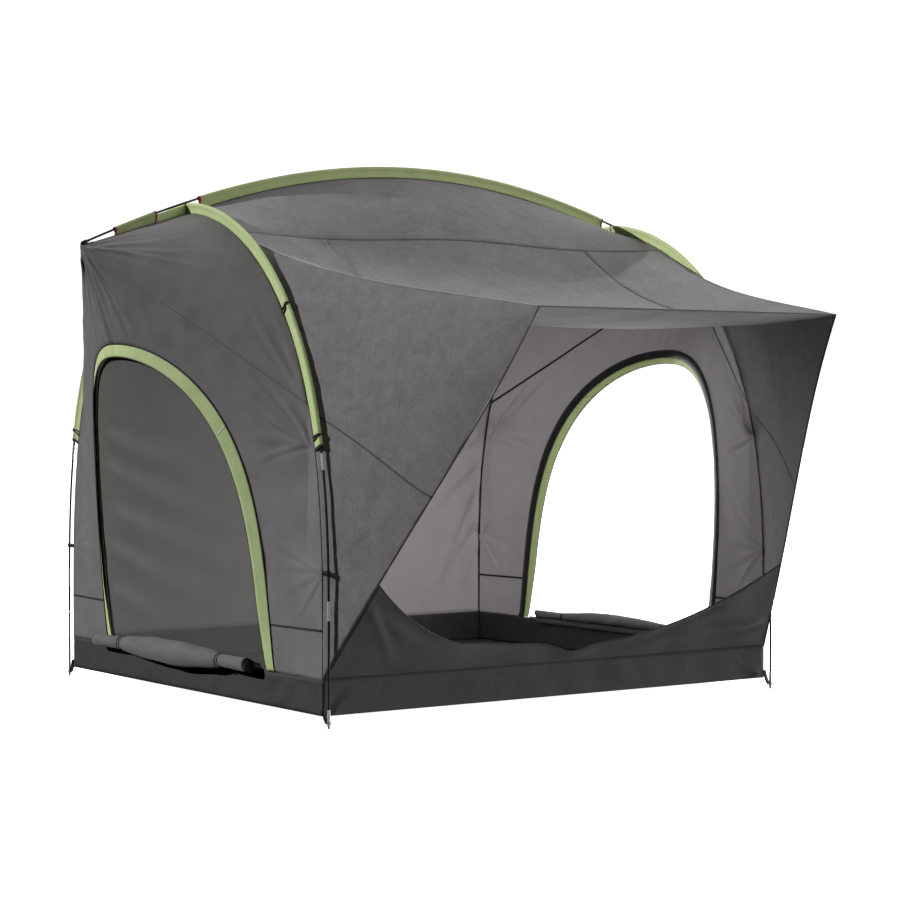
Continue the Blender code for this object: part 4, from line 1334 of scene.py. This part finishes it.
trimLook = {"pipingLift": 0.0015, "zipInset": 0.009, "netZipAndShadeInset": 0.060, "joins": (0.415, 0.705),
            "tapeHeight": 0.376, "thresholdHalf": 0.64}
# Radius of each cord and bound edge
cords = {"piping": 0.0040, "innerEdge": 0.0018, "leg": 0.0024, "hoodHem": 0.0028, "lipHem": 0.0030,
         "lipSeam": 0.0020, "leftBinding": 0.0024, "rightBinding": 0.0036}
# Lift off the cloth, width, thickness and finish of each tape
tapes = {
    "zip": (-0.0028, 0.040, 0.0016, "webbing"),
    "netZipAndShade": (0.0030, 0.016, 0.0016, "webbing"),
    "trimJoin": (0.0012, 0.004, 0.001, "limePale"),
    "wallOuter": (0.0018, 0.009, 0.001, "webbing"),
    "wallInner": (-0.0018, 0.009, 0.001, "webbing"),
    "corner": (0.0045, 0.011, 0.0012, "webbing"),
    "eave": (-0.0035, 0.009, 0.0012, "webbing"),
    "panelOuter": (0.0016, 0.007, 0.001, "seam"),
    "panelInner": (-0.0016, 0.007, 0.001, "seam"),
    # The hip strip is pale as a painted highlight on the fold's edge
    "hip": (0.0014, 0.006, 0.001, "paleTapeAndHighlight"),
    "hood": (0.0014, 0.008, 0.001, "heather"),
    "roof": (0.0014, 0.008, 0.001, "seam"),
    "roofInner": (-0.0040, 0.012, 0.0012, "webbing"),
    "threshold": (0.0, 0.012, 0.0014, "paleTapeAndHighlight"),
    "lastTurn": (0.0, 0.034, 0.0014, "plain"),
}
shares = np.linspace(0, 1, 150)


def doorwayTrim(side, word):
    line = doorPath(side, 0.0)(shares)
    line = line + wallFacing(side, line) * trimLook["pipingLift"]
    tubePiece(word + "_door_piping", line, cords["piping"], "webbing", sides=10)
    line = doorPath(side, tent["trimWidth"])(shares)
    line = line + trimLift(side, line[:, 2], 1.0)
    tubePiece(word + "_door_edge", line, cords["innerEdge"], "webbing", sides=8)
    line = doorPath(side, trimLook["zipInset"])(shares)
    facing = wallFacing(side, line)
    stripPiece(word + "_zip_band", line, facing, tapes["zip"])
    # The closed left door has a black tape at its net's zip, which also paints in the shade that the lifted
    # trim casts on the net
    if side < 0:
        line = doorPath(side, trimLook["netZipAndShadeInset"])(shares)
        stripPiece("left_net_zip_and_shade", line, facing, tapes["netZipAndShade"])
    for k, share in enumerate(trimLook["joins"]):
        column = np.full(6, share if side < 0 else 1 - share)
        points, facing = bentLine(grids[word + "_door_trim"], column, np.linspace(0.03, 0.95, 6))
        stripPiece(f"{word}_trim_join_{k + 1}", points, facing, tapes["trimJoin"])


def cornerSeams(side, end, word, place):
    # Tapes across the wall from the corner to the doorway
    name = f"{word}_{place}"
    z = trimLook["tapeHeight"]
    farY = float(archDepth(np.array(z), *seamArch)) - 0.001
    y = end * np.linspace(tent["doorHalfWidth"] - 0.004, farY, 30)
    line = onWall(side, y, np.full_like(y, z))
    facing = wallFacing(side, line)
    stripPiece(name + "_wall_tape_outer", line, facing, tapes["wallOuter"])
    stripPiece(name + "_wall_tape_inner", line, facing, tapes["wallInner"])
    # Bound seams inside the corners
    line = legAndShoulder(side, end)(shares)
    stripPiece(name + "_corner_tape", line, (-side, -0.8 * end, 0.0), tapes["corner"])
    line = seamPath(side, end, "leg")(np.linspace(0, 1, 80))
    tubePiece(name + "_leg_seam", line, cords["leg"], "webbing", sides=8)
    points, facing = bentLine(grids[f"{word}_eave_{place}"], np.full(60, 0.004), np.linspace(0.0, 0.97, 60))
    stripPiece(name + "_eave_tape", points, facing, tapes["eave"])
    line = seamPath(side, end, "crown")(np.linspace(0, 1, 60))
    stripPiece(name + "_crown_tape", line, (-0.6 * side, 0.0, -1.0), tapes["corner"])


def panelSeam(t):
    # Shares of the front panel's columns and rows along its seam
    return 0.484 - 0.21 * t - 0.27 * t ** 2.6, 0.019 + 0.46 * t + 0.021 * t ** 2


for side, word in leftRight:
    doorwayTrim(side, word)
    for end, place in frontRear:
        cornerSeams(side, end, word, place)
    # Seam across the front panel, from the sleeve's end to the free edge
    t = np.linspace(0.0, 1.0, 70)
    points, facing = bentLine(grids[f"front_{word}_panel"], *panelSeam(t))
    stripPiece(f"front_{word}_panel_seam_outer", points, facing, tapes["panelOuter"])
    stripPiece(f"front_{word}_panel_seam_inner", points, facing, tapes["panelInner"])
    # Bound edge of the open front
    edge = freeEdgePath(side)(np.linspace(0.0, 1.0, 60))
    tubePiece(word + "_front_binding", edge, cords[word + "Binding"], "webbing", sides=10)
    for label, path in (("hip", hipPath(side)), ("hood", hoodSeamPath(side))):
        line = path(np.linspace(0, 1, 80))
        stripPiece(f"{word}_{label}_seam", line, (0.25 * side, -0.2, 1.0), tapes[label])
for end, place in frontRear:
    line = roofSeamPath(end, -halfWidth, halfWidth)(np.linspace(0, 1, 120))
    up = (0.0, 0.5 * end, 1.0)
    stripPiece(f"roof_{place}_seam", line, up, tapes["roof"])
# The rear seam is bound inside
stripPiece("roof_rear_seam_tape", line, up, tapes["roofInner"])
line = straightPath(hoodCorner(-1), hoodCorner(1))(np.linspace(0, 1, 90))
tubePiece("hood_hem", line, cords["hoodHem"], "seam", sides=10)
tubePiece("lip_hem", lipPath(np.linspace(0, 1, 120)), cords["lipHem"], "webbing", sides=10)
x = np.linspace(-halfWidth, halfWidth, 60)
line = np.stack([x, np.full_like(x, -halfDepth - 0.001), np.full_like(x, skirtTop)], axis=-1)
tubePiece("lip_seam", line, cords["lipSeam"], "webbing", sides=8)
for side, word in leftRight:
    y = np.linspace(-trimLook["thresholdHalf"], trimLook["thresholdHalf"], 60)
    x = np.full_like(y, side * (halfWidth - 0.002))
    line = np.stack([x, y, np.full_like(y, skirtTop + 0.001)], axis=-1)
    stripPiece(word + "_threshold", line, (-side, 0.0, 0.0), tapes["threshold"])
print("seams done")


# Rolled door flaps, tied on the sills

rollLook = {
    "left": {"radius": 0.058, "endRadius": 0.031, "flat": 0.86, "ends": (0.004, 0.004), "seat": None,
             "seed": 299},
    "right": {"radius": 0.031, "endRadius": 0.021, "flat": 1.0, "ends": (0.004, 0.040), "seat": 0.047,
              "seed": 301},
    "turns": 6.0, "cloth": 0.0022, "edge": 0.0024, "core": 0.14, "unevenness": 0.05, "sway": 0.012,
    "ties": (0.165, 0.81), "tieHalf": 0.0045, "tieCloth": 0.0014, "pinch": 0.10, "pinchWidth": 0.03,
}


def rollRadius(word, share):
    # Fat between the ties, slim outside them
    look = rollLook[word]
    low, high = rollLook["ties"]
    between = np.clip((share - low) / (high - low), 0.0, 1.0)
    return look["endRadius"] + (look["radius"] - look["endRadius"]) * np.sin(math.pi * between) ** 0.8


def rollSag(word, share):
    # The right roll rests on the sill all along; seat is the height of the CAD roll's middle over it
    seat = rollLook[word]["seat"]
    return seat - rollRadius(word, share) if seat else 0.0 * share


def rollGrid(side, word, centre, span):
    rows = cellCount(span[1] - span[0], 1, cells["roll"])
    turns = rollLook["turns"]
    columns = int(turns * 20)
    share = np.linspace(0, 1, rows + 1)[:, None]
    angle = np.linspace(0, turns * 2 * math.pi, columns + 1)[None]
    rng = np.random.default_rng(rollLook[word]["seed"])
    wave = np.zeros((rows + 1, columns + 1))
    for _ in range(6):
        along = rng.uniform(10, 42)
        around = rng.uniform(1, 3)
        wave += np.sin(share * along + around * angle + rng.uniform(0, 6)) / 3
    growth = rollLook["core"] + (1 - rollLook["core"]) * (angle / angle[0, -1])
    radius = rollRadius(word, share) * growth * (1 + rollLook["unevenness"] * wave * growth) - 0.0012
    for tie in rollLook["ties"]:
        radius = radius * (1 - rollLook["pinch"] * np.exp(-((share - tie) / rollLook["pinchWidth"]) ** 2))
    turned = (angle - math.pi / 2 - angle[0, -1] + 2.2) * (-side)
    x = centre.x + rollLook[word]["flat"] * radius * np.cos(turned)
    sway = rollLook["sway"] * np.sin(angle * 0.9) * (2 * share - 1) * growth
    y = span[0] + (span[1] - span[0]) * share + sway
    z = centre.z - rollSag(word, share) + radius * np.sin(turned)
    return np.stack([x, y, z], axis=-1)


for side, word in leftRight:
    low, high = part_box(word + "_door_roll")
    centre = (low + high) / 2
    inset = rollLook[word]["ends"]
    span = (low.y + inset[0], high.y - inset[1])
    grid = rollGrid(side, word, centre, span)
    piece = clothPiece(word + "_door_roll_cloth", grid, rollLook["cloth"], "plain", [word + "_door_roll"])
    declareCloth(grid)
    for k, row in enumerate((grid[0], grid[-1])):
        # Bound edge of the flap, seen as a spiral at the roll's end
        line = row[::2] + np.array([0.0, (2 * k - 1) * 0.0012, 0.0])
        tubePiece(f"{word}_roll_edge_{k + 1}", line, rollLook["edge"], "webbing", sides=6)
    for k, tie in enumerate(rollLook["ties"]):
        y = span[0] + (span[1] - span[0]) * tie
        reach = float(rollRadius(word, np.array(tie))) * 0.93 + 0.002
        z = centre.z - float(rollSag(word, np.array(tie)))
        angles = np.linspace(0, 2 * math.pi, 41)
        loop = [(centre.x + reach * math.cos(a), z + reach * math.sin(a)) for a in angles]
        grid = np.array([[(px, y + way * rollLook["tieHalf"], pz) for px, pz in loop] for way in (-1, 0, 1)])
        clothPiece(f"{word}_roll_tie_{k + 1}", grid, rollLook["tieCloth"], "webbing")
# The right flap's last turn, from the sill up to the roll
y = np.linspace(*span, 40)
line = np.stack([np.full_like(y, centre.x - 0.006), y, np.full_like(y, skirtTop - 0.004)], axis=-1)
stripPiece("right_door_flap", line, (-1.0, 0.0, 0.0), tapes["lastTurn"])
print("rolls done")


# Studio: pale floor, a sun from behind on the left, one broad light from the right of the sky, and soft boxes
# that stand behind, beside and in front of the tent and in its cabin

studio = {"floor": "ffffff", "floorGlow": 1.0, "sky": 1.2, "key": 3.31, "keyWay": (0.78, -0.47, -0.41),
          "keyAngle": 0.6, "skyLight": 2.94, "skyWay": (1.0, 0.0, 0.0)}
# Soft boxes: strength, place, the point each faces, and size
softBoxes = {
    "rearGlow": (330.0, (1.0, 4.2, 0.5), (0.8, 1.0, 0.5), (1.5, 1.0)),
    "sideGlow": (95.0, (4.4, 2.6, 0.7), (1.15, 0.9, 0.75), (1.2, 1.0)),
    "sideNear": (22.0, (1.95, 1.55, 0.6), (1.15, 0.8, 0.75), (0.6, 0.6)),
    "frontSide": (32.0, (3.6, -1.0, 1.9), (1.0, -1.4, 1.2), (1.2, 1.0)),
    "cabin": (3.0, (0.0, -0.2, 0.9), (0.9, 1.0, 0.5), (0.5, 0.4)),
    "inner": (10.7, (0.2, -0.3, 1.7), (0.4, 0.1, 0.1), (1.0, 0.8)),
    "fill": (28.0, (-1.0, -6.0, 3.0), (0.3, 0.2, 0.2), (2.0, 1.5)),
}


def addLight(name, kind, energy, place, way, size=(1.0, 1.0)):
    data = bpy.data.lights.new(name, kind)
    data.energy = energy
    if kind == "SUN":
        data.angle = math.radians(studio["keyAngle"])
    else:
        data.shape = "RECTANGLE"
        data.size = size[0]
        data.size_y = size[1]
    light = bpy.data.objects.new(name, data)
    light.location = place
    light.rotation_euler = Vector(way).to_track_quat("-Z", "Y").to_euler()
    light.visible_camera = False
    scene.collection.objects.link(light)


floorMesh = bmesh.new()
bmesh.ops.create_grid(floorMesh, x_segments=8, y_segments=8, size=40.0)
floorData = bpy.data.meshes.new("studioFloor")
floorMesh.to_mesh(floorData)
floorMesh.free()
floorObject = bpy.data.objects.new("studioFloor", floorData)
scene.collection.objects.link(floorObject)
floorObject.visible_diffuse = False
floorObject.visible_glossy = False
floorObject.visible_transmission = False
floorMaterial, floorTree = emptyMaterial("studioPaper")
paper = addNode(floorTree, "ShaderNodeBsdfPrincipled", None,
                {"Base Color": hexColour(studio["floor"]), "Roughness": 0.9, "Specular IOR Level": 0.0,
                 "Emission Color": (1.0, 1.0, 1.0, 1.0), "Emission Strength": studio["floorGlow"]})
finishWith(floorTree, paper.outputs["BSDF"])
# The paper looks white, but lights nothing
floorMaterial.cycles.emission_sampling = "NONE"
floorData.materials.append(floorMaterial)

# Sky: white where the camera looks past the tent, while one broad lobe lights the tent
world = bpy.data.worlds.new("studioWorld")
scene.world = world
world.use_nodes = True
sky = world.node_tree
sky.nodes.clear()
way = addNode(sky, "ShaderNodeTexCoord")
facing = addNode(sky, "ShaderNodeVectorMath", {"operation": "DOT_PRODUCT"}, {1: studio["skyWay"]},
                 {0: way.outputs["Generated"]})
lobe = addNode(sky, "ShaderNodeMath", {"operation": "MAXIMUM"}, {1: 0.0}, {0: facing.outputs["Value"]})
strength = addNode(sky, "ShaderNodeMath", {"operation": "MULTIPLY"}, {1: studio["skyLight"]},
                   {0: lobe.outputs["Value"]})
rayKind = addNode(sky, "ShaderNodeLightPath")
seen = addNode(sky, "ShaderNodeBackground", None, {"Color": (1.0, 1.0, 1.0, 1.0), "Strength": studio["sky"]})
lit = addNode(sky, "ShaderNodeBackground", None, {"Color": (1.0, 1.0, 1.0, 1.0)},
              {"Strength": strength.outputs["Value"]})
chosen = addNode(sky, "ShaderNodeMixShader", None, None,
                 {0: rayKind.outputs["Is Camera Ray"], 1: lit.outputs["Background"],
                  2: seen.outputs["Background"]})
addNode(sky, "ShaderNodeOutputWorld", None, None, {"Surface": chosen.outputs["Shader"]})

addLight("keyLight", "SUN", studio["key"], (0.0, 0.0, 5.0), studio["keyWay"])
for word, (strength, place, target, size) in softBoxes.items():
    addLight(word + "Light", "AREA", strength, place, Vector(target) - Vector(place), size)

scene.view_settings.view_transform = "Standard"
print("studio done")
